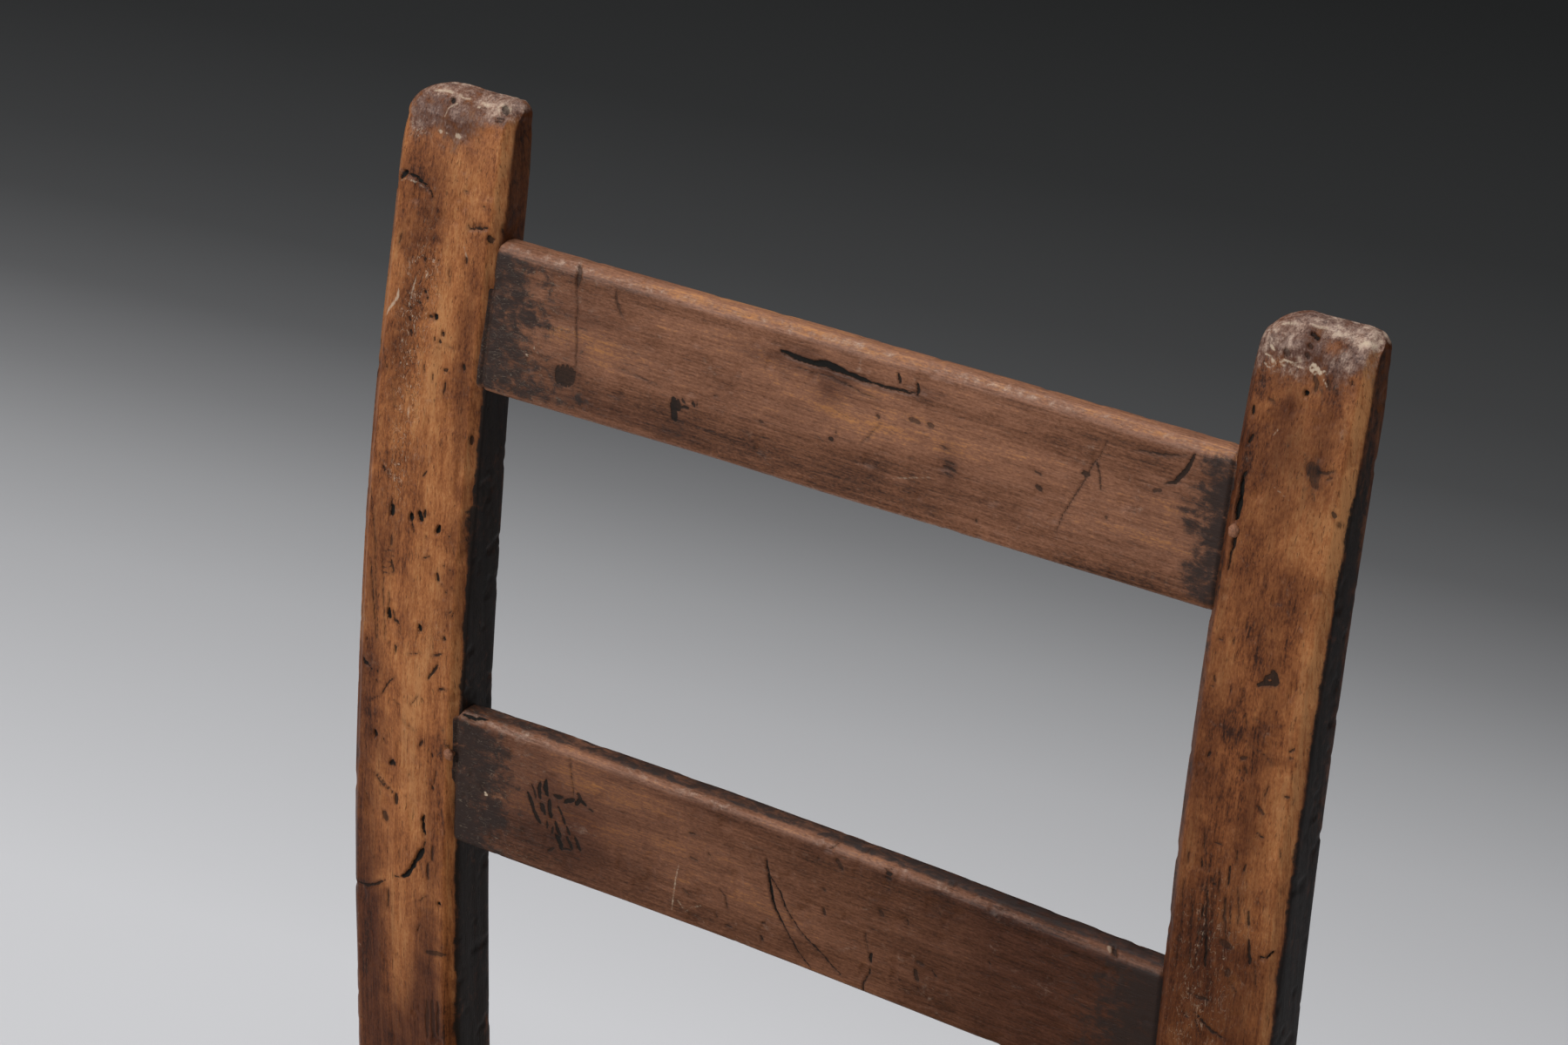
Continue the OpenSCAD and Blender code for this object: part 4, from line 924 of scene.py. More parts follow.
def write_uv(mesh, along, quads, low, high, turned):
    """A UV map with the distance along a cord as u and the share of a turn as v, which
    runs on to 1 where the columns close."""
    columns = along.shape[-1]
    share = np.broadcast_to(np.arange(columns) / columns, along.shape)
    pairs = np.stack([along.ravel(), share.ravel()], -1)
    body = pairs[quads]
    body[np.isclose(body[:, 0, 1], (columns - 1) / columns), 1:3, 1] = 1.0
    ends = [pairs[face[:, [0, 1, 0]]] for face in (low, high)]
    parts = [(p[:, ::-1] if turned else p).reshape(-1) for p in (body, *ends)]
    layer = mesh.uv_layers.new(name="cord")
    layer.data.foreach_set("uv", np.concatenate(parts).astype(np.float32))


class Value:
    """A value that changes over a surface. Arithmetic on it adds Math nodes."""

    def __init__(self, finish, socket):
        self.finish = finish
        self.socket = socket

    def math(self, operation, first, second):
        return self.finish.node("ShaderNodeMath", {"operation": operation},
                                {0: first, 1: second})

    def __add__(self, other):
        return self.math("ADD", self, other)

    __radd__ = __add__

    def __sub__(self, other):
        return self.math("SUBTRACT", self, other)

    def __rsub__(self, other):
        return self.math("SUBTRACT", other, self)

    def __mul__(self, other):
        return self.math("MULTIPLY", self, other)

    def __truediv__(self, other):
        return self.math("DIVIDE", self, other)

    def __pow__(self, other):
        return self.math("POWER", self, other)

    def lower(self, other):
        return self.math("MINIMUM", self, other)

    def higher(self, other):
        return self.math("MAXIMUM", self, other)

    def sine(self):
        return self.math("SINE", self, 0.0)

    def swing(self, amount):
        """How far the value lies from a half, times an amount."""
        return (self - 0.5) * amount

    def size(self):
        """The value without its sign."""
        return self.math("ABSOLUTE", self, 0.0)

    def between(self, low, high):
        """0 below low, 1 above high, smooth between."""
        settings = {"interpolation_type": "SMOOTHSTEP"}
        return self.finish.node("ShaderNodeMapRange", settings,
                                {0: self, 1: low, 2: high, 3: 0.0, 4: 1.0})


class Finish:
    """One node material with a Principled shader."""

    def __init__(self, name):
        self.material = bpy.data.materials.new(name)
        self.material.use_nodes = True
        self.tree = self.material.node_tree
        self.tree.nodes.clear()
        self.shader = self.tree.nodes.new("ShaderNodeBsdfPrincipled")
        output = self.tree.nodes.new("ShaderNodeOutputMaterial")
        self.tree.links.new(self.shader.outputs[0], output.inputs[0])

    def feed(self, socket, value):
        if isinstance(value, Value):
            self.tree.links.new(value.socket, socket)
        elif hasattr(value, "__len__") and len(value) == 3 and socket.type == "RGBA":
            socket.default_value = (*value, 1.0)
        else:
            socket.default_value = value

    def node(self, kind, settings=None, inputs=None, output=0):
        """Adds a node: first its settings, then the values or links of its sockets."""
        node = self.tree.nodes.new(kind)
        for key, value in (settings or {}).items():
            if key == "stops":
                self.set_stops(node.color_ramp, value)
            else:
                setattr(node, key, value)
        for key, value in (inputs or {}).items():
            self.feed(node.inputs[key], value)
        return Value(self, node.outputs[output])

    def set_stops(self, ramp, stops):
        while len(ramp.elements) < len(stops):
            ramp.elements.new(0.5)
        for element, (place, colour) in zip(ramp.elements, stops):
            element.position = place
            element.color = (*colour, 1.0)

    def set(self, **values):
        """Sets or links sockets of the shader, named with underscores for spaces."""
        for key, value in values.items():
            self.feed(self.shader.inputs[key.replace("_", " ")], value)

    def place(self):
        return self.node("ShaderNodeTexCoord", output="Object")

    def stretched(self, scale):
        """Object coordinates in metres times a scale for each axis."""
        return self.node("ShaderNodeVectorMath", {"operation": "MULTIPLY"},
                         {0: self.place(), 1: scale})

    def noise(self, scale, detail=2.0, roughness=0.5, distortion=0.0):
        """Noise from 0 to 1 with this many lumps to a metre along each axis."""
        return self.node("ShaderNodeTexNoise", {"noise_dimensions": "3D"},
                         {"Vector": self.stretched(scale), "Scale": 1.0, "Detail": detail,
                          "Roughness": roughness, "Distortion": distortion}, "Fac")

    def attribute(self, name):
        return self.node("ShaderNodeAttribute", {"attribute_name": name}, output="Fac")

    def mix(self, factor, first, second, blend="MIX"):
        """Colour mix of first and second."""
        return self.node("ShaderNodeMix", {"data_type": "RGBA", "blend_type": blend},
                         {0: factor, 6: first, 7: second}, 2)

    def ramp(self, factor, stops):
        return self.node("ShaderNodeValToRGB", {"stops": stops}, {0: factor}, "Color")

    def bump(self, height, strength, distance):
        return self.node("ShaderNodeBump", {}, {"Height": height, "Strength": strength,
                                                "Distance": distance}, "Normal")


def along_grain(axis, across, along):
    """Lumps to a metre on each axis, with the grain running along one of them."""
    return tuple(along if name == axis else across for name in "XYZ")


def worn_wood(name, axis, light, middle, dark, stained, streaky, colours):
    """Old rubbed wood: streaks, specks and pores along the grain, umber and blue-black
    stain, grey bloom, honey-coloured worn places, bare fibre and black dirt in the marks.
    On the slats' rounded edges the honey, bloom and crust also paint a highlight.
    mark and chip are distances in millimetres to the outlines of marks and scuffs."""
    finish = Finish(name)
    broad = finish.noise(along_grain(axis, 60.0, 8.0), 3.0, 0.55, 0.4)
    streak = finish.noise(along_grain(axis, 380.0, 14.0), 4.0, 0.62, 0.5)
    fine = finish.noise(along_grain(axis, 1500.0, 90.0), 3.0, 0.6)
    grit = finish.noise(along_grain(axis, 1900.0, 800.0), 2.0, 0.6)
    pores = finish.noise(along_grain(axis, 1700.0, 210.0), 2.0, 0.5, 0.3)
    blotch = finish.noise((42.0, 42.0, 42.0), 5.0, 0.66, 0.8)
    speckle = finish.noise((420.0, 420.0, 420.0), 3.0, 0.7)
    scrape = finish.noise(along_grain(axis, 260.0, 150.0), 6.0, 0.72, 0.8)
    twist = finish.noise(along_grain(axis, 520.0, 170.0), 2.0, 0.5, 1.6)
    stain, umber, honey, patina, worm, fleck, crust = map(finish.attribute, TONES)
    mark, chip = finish.attribute("mark"), finish.attribute("chip")
    tone = (broad.swing(1.2) + streak.swing(streaky) + fine.swing(0.8)
            + grit.swing(0.7) - blotch.swing(0.75 * streaky) + honey * 0.42 + 0.5)
    body = finish.ramp(tone, ((0.08, dark), (0.38, middle), (0.72, light),
                              (1.0, colours.honey)))
    soaked = umber + blotch.swing(0.7 * streaky) + streak.swing(0.6 * streaky)
    body = finish.mix(soaked.between(-0.1, 1.05), body, colours.umber, "MULTIPLY")
    pore = pores.between(0.62, 0.72) * (0.14 + 0.30 * streaky)
    squiggle = (1 - (twist - 0.5).size().between(0.006, 0.022)) * worm
    body = finish.mix(pore.higher(squiggle * 0.8), body, dark)
    bare = ((1 - (twist - 0.545).size().between(0.005, 0.020)) * (worm + fleck)
            * speckle.between(0.42, 0.6))
    bloom = (patina * 0.9 + speckle.swing(0.8) + scrape.swing(1.1)
             + blotch.swing(0.8)).between(0.10, 1.05)
    haze = finish.ramp(scrape.swing(1.3) + speckle.swing(0.9) + grit.swing(0.5)
                       + blotch.swing(1.3) + crust * 0.50 + 0.32,
                       ((0.08, dark), (0.32, colours.dusk), (0.52, colours.patina),
                        (0.78, colours.crust), (1.0, colours.fibre)))
    body = finish.mix(bloom * 0.86, body, haze)
    unrest = (scrape.swing(2.0) + streak.swing(0.5) + speckle.swing(0.8)
              + grit.swing(0.5))
    smear = stain + unrest * (stain * 4.0).lower(1.0)
    covered = smear.between(0.22, 1.0) * 0.72 + smear.between(0.45, 0.75) * 0.24
    body = finish.mix(covered, body, stained)
    body = finish.mix(bare.lower(1.0) * 0.75, body, colours.fibre)
    flecks = (fleck * 0.6 + speckle + grit.swing(0.4)).between(1.08, 1.22)
    ragged = chip.higher(-0.45) + grit.swing(1.0) + speckle.swing(0.8)
    chipped = (1 - ragged.between(-0.30, 0.20)) * finish.attribute("pale")
    chipped = chipped.higher(flecks * 0.8)
    body = finish.mix(chipped * 0.85, body, colours.fibre)
    rim = mark + grit.swing(0.55) + speckle.swing(0.5)
    dirt = (1 - rim.between(-0.16, 0.14)) * finish.attribute("dark")
    halo = (1 - mark.between(0.0, 1.1)) * 0.28
    body = finish.mix(halo, body, dark)
    body = finish.mix(dirt, body, colours.soot)
    gloss = (0.50 - streak.swing(0.2) + covered * 0.05 + chipped * 0.3 + dirt * 0.35
             + speckle.swing(0.15))
    height = (streak * 0.5 + fine * 0.35 + grit * 0.25 - pore * 1.1 - squiggle * 1.2
              + speckle * 0.3 - dirt * 0.8)
    finish.set(Base_Color=body, Roughness=gloss, Specular_IOR_Level=0.16,
               Normal=finish.bump(height, 0.7, 0.00035))
    return finish.material


def hidden_wood(name, light, dark):
    """Plain sawn wood of the rails under the weave."""
    finish = Finish(name)
    streak = finish.noise((330.0, 330.0, 40.0), 4.0, 0.62, 0.6)
    body = finish.mix(streak.between(0.3, 0.7), dark, light)
    finish.set(Base_Color=body, Roughness=0.6 + streak * 0.2,
               Normal=finish.bump(streak, 0.5, 0.0004))
    return finish.material


def rusty_iron(colours):
    """Hand-made nail heads: rust with dark scale."""
    finish = Finish("rusty_iron")
    scale = finish.noise((1500.0, 1500.0, 1500.0), 4.0, 0.6)
    colour = finish.mix(scale.between(0.4, 0.7) * 0.5, colours.rust, colours.stain)
    finish.set(Base_Color=colour, Metallic=0.1, Roughness=0.6 + scale * 0.25,
               Normal=finish.bump(scale, 0.8, 0.0004))
    return finish.material


def twisted_cord(colours, turn):
    """Two-strand fibre cord: strands wind round as v minus u, with fine fibres along
    them, painted shade in the hollows between the strands, and darker at broad worn places."""
    finish = Finish("twisted_cord")
    uv = finish.node("ShaderNodeUVMap", {"uv_map": "cord"})
    u = finish.node("ShaderNodeSeparateXYZ", inputs={0: uv}, output="X")
    v = finish.node("ShaderNodeSeparateXYZ", inputs={0: uv}, output="Y")
    phase = (v - u / turn) * (2 * math.pi)
    strand = (phase * 2.0).sine() * 0.5 + 0.5
    fibres = finish.noise((900.0, 900.0, 900.0), 3.0, 0.65, 0.5)
    age = finish.noise((26.0, 26.0, 26.0), 4.0, 0.6)
    single = finish.noise((190.0, 190.0, 190.0), 2.0, 0.5)
    # The strand term paints shade into the hollows between the strands of the smooth tube
    tone = strand ** 0.6 * 0.55 + fibres * 0.5 + (age - 0.5) * 0.7 + (single - 0.5) * 0.5
    colour = finish.ramp(tone - 0.1, ((0.05, colours.cord_dark), (0.75, colours.cord_light)))
    height = strand ** 0.5 + fibres * 0.25
    finish.set(Base_Color=colour, Roughness=0.78 - strand * 0.1, Specular_IOR_Level=0.3,
               Normal=finish.bump(height, 1.0, 0.0007))
    return finish.material


def packed_straw(colours):
    """Loose straw, seen only in the gaps of the weave."""
    finish = Finish("packed_straw")
    stalks = finish.noise((500.0, 60.0, 500.0), 3.0, 0.6, 1.0)
    colour = finish.mix(stalks.between(0.35, 0.7), colours.cord_dark, colours.straw)
    finish.set(Base_Color=colour, Roughness=0.8, Normal=finish.bump(stalks, 0.8, 0.001))
    return finish.material


def studio_floor(colours, stage):
    """Pale floor with a painted pool of light: its colour darkens far behind the chair, as
    the camera sees it, and farther off all round, as painted falloff of the light."""
    finish = Finish("studio_floor")
    behind = Vector((-math.sin(stage.azimuth), math.cos(stage.azimuth), 0))
    across = Vector((math.cos(stage.azimuth), math.sin(stage.azimuth), 0))
    back = finish.node("ShaderNodeVectorMath", {"operation": "DOT_PRODUCT"},
                       {0: finish.place(), 1: tuple(behind + across * 0.45)}, "Value")
    away = finish.node("ShaderNodeVectorMath", {"operation": "LENGTH"},
                       {0: finish.place()}, "Value")
    reach = back.higher(away * 0.36)
    # Painted falloff of the light: from the near colour to the dark far colour with distance
    stops = ((0.98, 1.0), (1.22, 0.82), (1.35, 0.71), (1.48, 0.54), (1.61, 0.33), (1.74, 0.165),
             (1.875, 0.09), (2.0, 0.06), (2.27, 0.024), (2.8, 0.0))
    near, far = np.array(colours.floor_near), np.array(colours.floor_far_painted_shade)
    colour = finish.ramp(reach / 3.0, tuple(
        (at / 3.0, tuple(far + (near - far) * share)) for at, share in stops))
    finish.set(Base_Color=colour, Roughness=0.9, Specular_IOR_Level=0.1)
    return finish.material


def plain_colours():
    """The colours of the panel as tuples."""
    group = bpy.context.scene.chair_colours
    return SimpleNamespace(**{name: tuple(getattr(group, name)) for name in value_names(group)})


MADE_FINISHES = {}


def finishes():
    """The materials of the chair, made once."""
    if not MADE_FINISHES:
        c = plain_colours()
        post = (c.post_light, c.post_mid, c.post_dark, c.stain, 1.25, c)
        slat = (c.slat_light, c.slat_mid, c.slat_dark, c.slat_stain, 0.52, c)
        MADE_FINISHES.update(
            post=worn_wood("worn_post_wood", "Z", *post),
            slat=worn_wood("worn_slat_wood", "X", *slat),
            cross=worn_wood("worn_cross_wood", "X", *post),
            side=worn_wood("worn_side_wood", "Y", *post),
            rail=hidden_wood("sawn_rail_wood", c.post_mid, c.post_dark),
            iron=rusty_iron(c),
            cord=twisted_cord(c, bpy.context.scene.chair_seat.lay),
            straw=packed_straw(c),
        )
    return MADE_FINISHES


def front_line(s, sizes):
    """Back and height of the posts' front face at an arc length s from the floor, and
    its lean there: straight up to the bend, then round a circle of the bend's radius."""
    angle = np.maximum(s - sizes.bend_start, 0) / sizes.bend_radius
    back = sizes.bend_radius * (1 - np.cos(angle))
    up = np.where(s < sizes.bend_start, s,
                  sizes.bend_start + sizes.bend_radius * np.sin(angle))
    return back, up, angle


def post_thickness(back, up, angle, sizes):
    """Thickness of the posts square to the front face: the near crossing of that line
    with the circle of the rear face's bend, or the plain depth below it."""
    ahead = back - (sizes.depth + sizes.rear_radius)
    below = up - sizes.rear_start
    slope = ahead * np.cos(angle) - below * np.sin(angle)
    rest = ahead ** 2 + below ** 2 - sizes.rear_radius ** 2
    thick = -slope - np.sqrt(np.maximum(slope ** 2 - rest, 0))
    return np.where(up < sizes.rear_start, sizes.depth, thick)


def post_surface(side, sizes):
    """Worn back post: chamfered sections square to the bent front line, drawn in to the
    rounded top and softened. Returns the points, the middle of the front, how far below
    the top each point lies and its share of the way from the front to the rear."""
    low, high = POST_BOX[side]
    wide = high[0] - low[0]
    height = sizes.height - (sizes.left_drop if side == LEFT else 0)
    lean = math.asin((height - sizes.bend_start) / sizes.bend_radius)
    drop = sizes.front_round * (math.cos(lean) + math.sin(lean) - 1)
    top = sizes.bend_start + sizes.bend_radius * lean + drop * math.cos(lean)
    turn = np.linspace(math.pi / 2, 0.04, 60)
    dome = top - sizes.left_round * (1 - np.cos(turn))
    s = np.concatenate([
        np.linspace(0, 1.5, 3),
        np.linspace(6, CLOSE_RINGS_FROM, 66, endpoint=False),
        np.linspace(CLOSE_RINGS_FROM, dome[0], 400, endpoint=False),
        dome,
    ])
    back, up, angle = front_line(s, sizes)
    thick = post_thickness(back, up, angle, sizes)
    below = top - s
    x0 = drawn_in(sizes.left_round, below) - wide / 2
    x1 = wide / 2 - drawn_in(sizes.right_round, below)
    y0 = drawn_in(sizes.front_round, below)
    y1 = thick - drawn_in(sizes.rear_round, below)
    counts = (96, 9, 22, 8, 12, 7, 9, 9)
    xs, ys = chamfered(x0, x1, y0, y1, sizes.chamfer, counts)
    middle = (low[0] + high[0]) / 2
    points = np.stack([
        middle + xs,
        low[1] + back[:, None] + ys * np.cos(angle)[:, None],
        up[:, None] - ys * np.sin(angle)[:, None],
    ], -1)
    points = round_the_ring(points, 5)
    points[..., 2] = np.maximum(points[..., 2], 0)
    return points, middle, np.broadcast_to(below[:, None], xs.shape), ys / thick[:, None]


def worn_down(points, sizes, grain, seed, proud=0.0):
    """How far a hewn and handled surface lies under its sharp form: broad hewn facets,
    ripples along the grain and small dents, less what stands proud of it."""
    along = np.array(grain) == 1
    facets = lumps(points, 22.0 * np.where(along, 2.3, 1), seed, 2)
    ripples = lumps(points, 3.2 * np.where(along, 8.0, 1), seed + 7)
    dents = ease(rough(points, 5.5, seed + 13, 2), 0.25, 0.75)
    return sizes.wear * (1.5 * facets + 0.6 * ripples + 1.1 * dents) - proud


def post_tones(side, x, z, inwards, normals, points):
    """Where one post is stained, dark brown, honey-coloured, bloomed, crusted and
    worm-eaten: soft spots read against the middle of its front, and its sides by how
    they face. inwards is 0 on the front face and 1 on the rear one."""
    nx, front = normals[..., 0], ease(-normals[..., 1], 0.25, 0.6)
    wander = rough(points, (7.0, 7.0, 9.0), 63)
    ragged = rough(points, (3.0, 3.0, 5.0), 67)
    right_side = ease(nx + 0.15 * wander, 0.62, 0.94)
    left_side = ease(-nx, 0.45, 0.85)
    rear = ease(normals[..., 1], 0.3, 0.8)
    up = ease(normals[..., 2], 0.2, 0.6) * ease(z, 700, 760)
    corner = np.exp(-((nx - 0.70) / 0.24) ** 2) * ease(-normals[..., 1], 0.3, 0.6)
    far_edge = right_side * ease(inwards + 0.12 * wander, 0.72, 0.90)
    above_seat = 0.3 + 0.7 * ease(z, 380, 520)
    spots = spots_on(SIDE_NAMES[side] + "_post", x, z)
    if side == LEFT:
        fade = ease(z + 14 * wander, 744, 806)
        soak = ease(inwards + 0.04 * wander, 0.03, 0.13)
        stain = right_side * soak * (0.42 + 0.62 * (1 - fade)) * above_seat
        stain *= 1 - 0.30 * far_edge
        umber = 0.16 + right_side * 0.7 + spots.umber * front
        honey = corner * (0.35 + 0.55 * ease(z, 770, 800))
        honey += 0.35 * np.exp(-((nx + 0.72) / 0.3) ** 2)
        low_line = 833.0 + 0.85 * np.maximum(x - 2, 0) + 1.6 * np.maximum(-16 - x, 0)
    else:
        fade = ease(z + 14 * wander, 796, 840)
        soak = ease(inwards + 0.06 * wander, 0.0, 0.20)
        stain = right_side * soak * (0.45 + 0.5 * (1 - fade)) * above_seat
        brown = right_side * ease(inwards + 0.16 * wander, 0.55, 0.80)
        stain *= 1 - 0.60 * brown * ease(z, 640, 760)
        umber = (0.40 + right_side * 0.45 + spots.umber * front) * (1 - 0.75 * corner)
        honey = corner * (0.85 + 0.35 * ease(z, 740, 790))
        honey += right_side * 0.35 * np.exp(-((z - 812) / 14) ** 2)
        low_line = 836.0 - 0.05 * x
    bloom = ease(z - low_line + 5.0 * wander + 2.5 * ragged, -7.0, 6.0) * front
    blotches = lumps(points, (9.0, 9.0, 30.0), 61)
    stain += spots.stain * front + left_side * 0.30 + rear * 0.25
    stain += 0.25 * (1 - ease(z, 0, 260)) * blotches
    umber += 0.35 * rear + 0.35 * left_side + 0.30 * (1 - ease(z, 250, 520)) * blotches
    honey += spots.honey * front + far_edge * 0.9 * fade
    patina = np.maximum(bloom, up * 0.95) * (1 - spots.thin) * (1 - 0.45 * corner)
    return clipped(stain=stain, umber=umber, honey=honey, patina=patina,
                   worm=spots.worm * front, fleck=spots.fleck, crust=spots.crust)


def make_post(side):
    """One back post with its marks and tones."""
    sizes = sizes_of("posts")
    points, middle, below, inwards = post_surface(side, sizes)
    normals = normals_of(points)
    x, z = points[..., 0] - middle, points[..., 2]
    front = ease(-normals[..., 1], 0.25, 0.6)
    top = ease(normals[..., 2], 0.35, 0.75) * ease(z, 600, 700)
    facing = np.maximum(front, top)
    depth, traces = carved(SIDE_NAMES[side] + "_post", x, z, facing)
    tones = post_tones(side, x, z, inwards, normals, points)
    crown = ease(-below, -26, -4)
    wear = worn_down(points, sizes, (0, 0, 1), 11 if side == LEFT else 31, PROUD)
    wear = wear + crown * (0.4 + 0.9 * lumps(points, 6.0, 71))
    ridge = np.abs(x - 2 - 2 * rough(points, (60.0, 60.0, 40.0), 77, 2))
    hewn = (0.035 if side == LEFT else 0.015) * ease(z, 540, 640) * (1 - ease(z, 780, 820))
    half = abs(x[PLAIN_RING]).max()
    edge = ease(np.abs(x), half - 4.5, half - 1.0)
    nibble = ease(rough(points, (9.0, 9.0, 34.0), 91), 0.15, 0.8) * 0.40
    wear = wear + ridge * hewn * front + nibble * edge * facing + depth
    points = points - normals * (wear * ease(z, 0, FLAT_FOOT))[..., None]
    build("post_" + SIDE_NAMES[side], points, finishes()["post"], {**tones, **traces},
          replaces=("back_post_" + SIDE_NAMES[side],))


def plain_tones(points, stain, honey, patina):
    """Tones of a piece without marks of its own."""
    zero = np.zeros(points.shape[:2])
    blotches = lumps(points, 30.0, 65)
    tones = clipped(stain=zero + stain, umber=0.25 + 0.5 * blotches, honey=zero + honey,
                    patina=zero + patina, worm=zero, fleck=zero, crust=zero)
    return {**tones, "mark": zero + CLEAR, "dark": zero, "chip": zero + CLEAR, "pale": zero}


def make_leg(side):
    """One square front leg: chamfered sections straight up, drawn in at the top."""
    sizes = sizes_of("posts")
    low, high = LEG_BOX[side]
    top = high[2]
    dome = top - sizes.leg_round * (1 - np.cos(np.linspace(math.pi / 2, 0.08, 12)))
    s = np.concatenate([[0, 1.2], np.linspace(3, dome[0], 210, endpoint=False), dome])
    half = (high[0] - low[0]) / 2 - drawn_in(sizes.leg_round, top - s)
    xs, ys = chamfered(-half, half, -half, half, sizes.leg_chamfer, (20, 5) * 4)
    middle = (low + high) / 2
    zs = np.broadcast_to(s[:, None], xs.shape)
    points = round_the_ring(np.stack([middle[0] + xs, middle[1] + ys, zs], -1), 2)
    normals = normals_of(points)
    z = points[..., 2]
    crown = ease(z, top - 14, top - 2)
    wear = worn_down(points, sizes, (0, 0, 1), 41 + side)
    wear = wear + crown * lumps(points, 7.0, 73) * 0.8
    points = points - normals * (wear * ease(z, 0, FLAT_FOOT))[..., None]
    blotches = lumps(points, (12.0, 12.0, 40.0), 63)
    stain = 0.25 * np.abs(normals[..., 0]) + blotches * (0.1 + 0.45 * (1 - ease(z, 10, 190)))
    honey = crown * 0.5 + 0.25 * ease(-normals[..., 1], 0.5, 0.9) * blotches
    build("leg_" + SIDE_NAMES[side], points, finishes()["post"],
          plain_tones(points, stain, honey, crown * 0.6),
          replaces=("front_leg_" + SIDE_NAMES[side],))


def slat_section(thick, deep, top_round, low_round, counts):
    """A board's section as (back, up) points: down the front face, round the bottom
    edge, up the rear face and round the top edge. counts are front, bottom, rear, top."""
    half = deep / 2
    front_n, low_n, rear_n, top_n = counts
    down = np.linspace(half - top_round, low_round - half, front_n, endpoint=False)
    front = np.stack([0 * down, down], -1)
    a = np.linspace(0, math.pi / 2, low_n, endpoint=False)
    low_front = np.stack([low_round * (1 - np.cos(a)), low_round * (1 - np.sin(a)) - half], -1)
    low_rear = np.stack([thick - low_round + low_round * np.sin(a),
                         low_round * (1 - np.cos(a)) - half], -1)
    up = np.linspace(low_round - half, half - top_round, rear_n, endpoint=False)
    rear = np.stack([thick + 0 * up, up], -1)
    b = np.linspace(0, math.pi / 2, top_n, endpoint=False)
    top_rear = np.stack([thick - top_round * (1 - np.cos(b)),
                         half - top_round * (1 - np.sin(b))], -1)
    flat = np.linspace(thick - top_round, top_round, 4, endpoint=False)
    ridge = np.stack([flat, half + 0 * flat], -1)
    top_front = np.stack([top_round * (1 - np.sin(b)), half - top_round * (1 - np.cos(b))], -1)
    bottom = np.linspace(low_round, thick - low_round, 8, endpoint=False)
    sole = np.stack([bottom, 0 * bottom - half], -1)
    return np.vstack([front, low_front, sole, low_rear, rear, top_rear, ridge, top_front])


def make_slat(which):
    """One back slat: its section carried along a shallow bow between the posts, in the
    plane of the posts' front face at its height, with its marks and tones."""
    slats, posts = sizes_of("slats"), sizes_of("posts")
    middle, deep, bow, tilt = (getattr(slats, which + part)
                               for part in ("_middle", "_depth", "_bow", "_tilt"))
    inner = -POST_BOX[LEFT][1][0]
    reach = inner + slats.bite
    run = np.linspace(-reach, reach, 600)
    section = slat_section(slats.thickness, deep, slats.top_round, slats.low_round,
                           (72, 7, 22, 10))
    section = round_the_ring(section, 2)
    lean = math.asin((middle - posts.bend_start) / posts.bend_radius)
    back = slats.recess + bow * (1 - (run / inner) ** 2)
    x = np.broadcast_to(run[:, None], (len(run), len(section)))
    h = np.broadcast_to(section[:, 1], x.shape)
    local = np.stack([x, back[:, None] + section[:, 0], h], -1)
    normals = normals_of(local)
    front = ease(-normals[..., 1], 0.1, 0.5)
    depth, traces = carved(which + "_slat", x, h, front)
    seed = 101 if which == "upper" else 131
    edge = ease(h, deep / 2 - 5, deep / 2 - 1)
    low_edge = ease(-h, deep / 2 - 3, deep / 2 - 1)
    wavy = lumps(local, (26.0, 60.0, 60.0), seed + 3)
    nibble = ease(rough(local, (10.0, 12.0, 12.0), seed + 5), 0.1, 0.8)
    joint = np.exp(-((inner + 1.2 - np.abs(x)) / 0.7) ** 2)
    wear = worn_down(local, posts, (1, 0, 0), seed, PROUD)
    wear = wear + edge * (0.25 * wavy + 0.35 * nibble) + depth + joint * 0.9
    local = local - normals * wear[..., None]
    turn = Matrix.Rotation(-lean, 3, "X") @ Matrix.Rotation(-tilt, 3, "Y")
    points = local @ np.array(turn).T
    points = points + [0, POST_BOX[LEFT][0][1] + front_line_at(middle, posts), middle]
    tones = slat_tones(which, x, h, inner, edge, low_edge, normals, points)
    build(which + "_slat_board", points, finishes()["slat"], {**tones, **traces},
          replaces=(which + "_slat",))


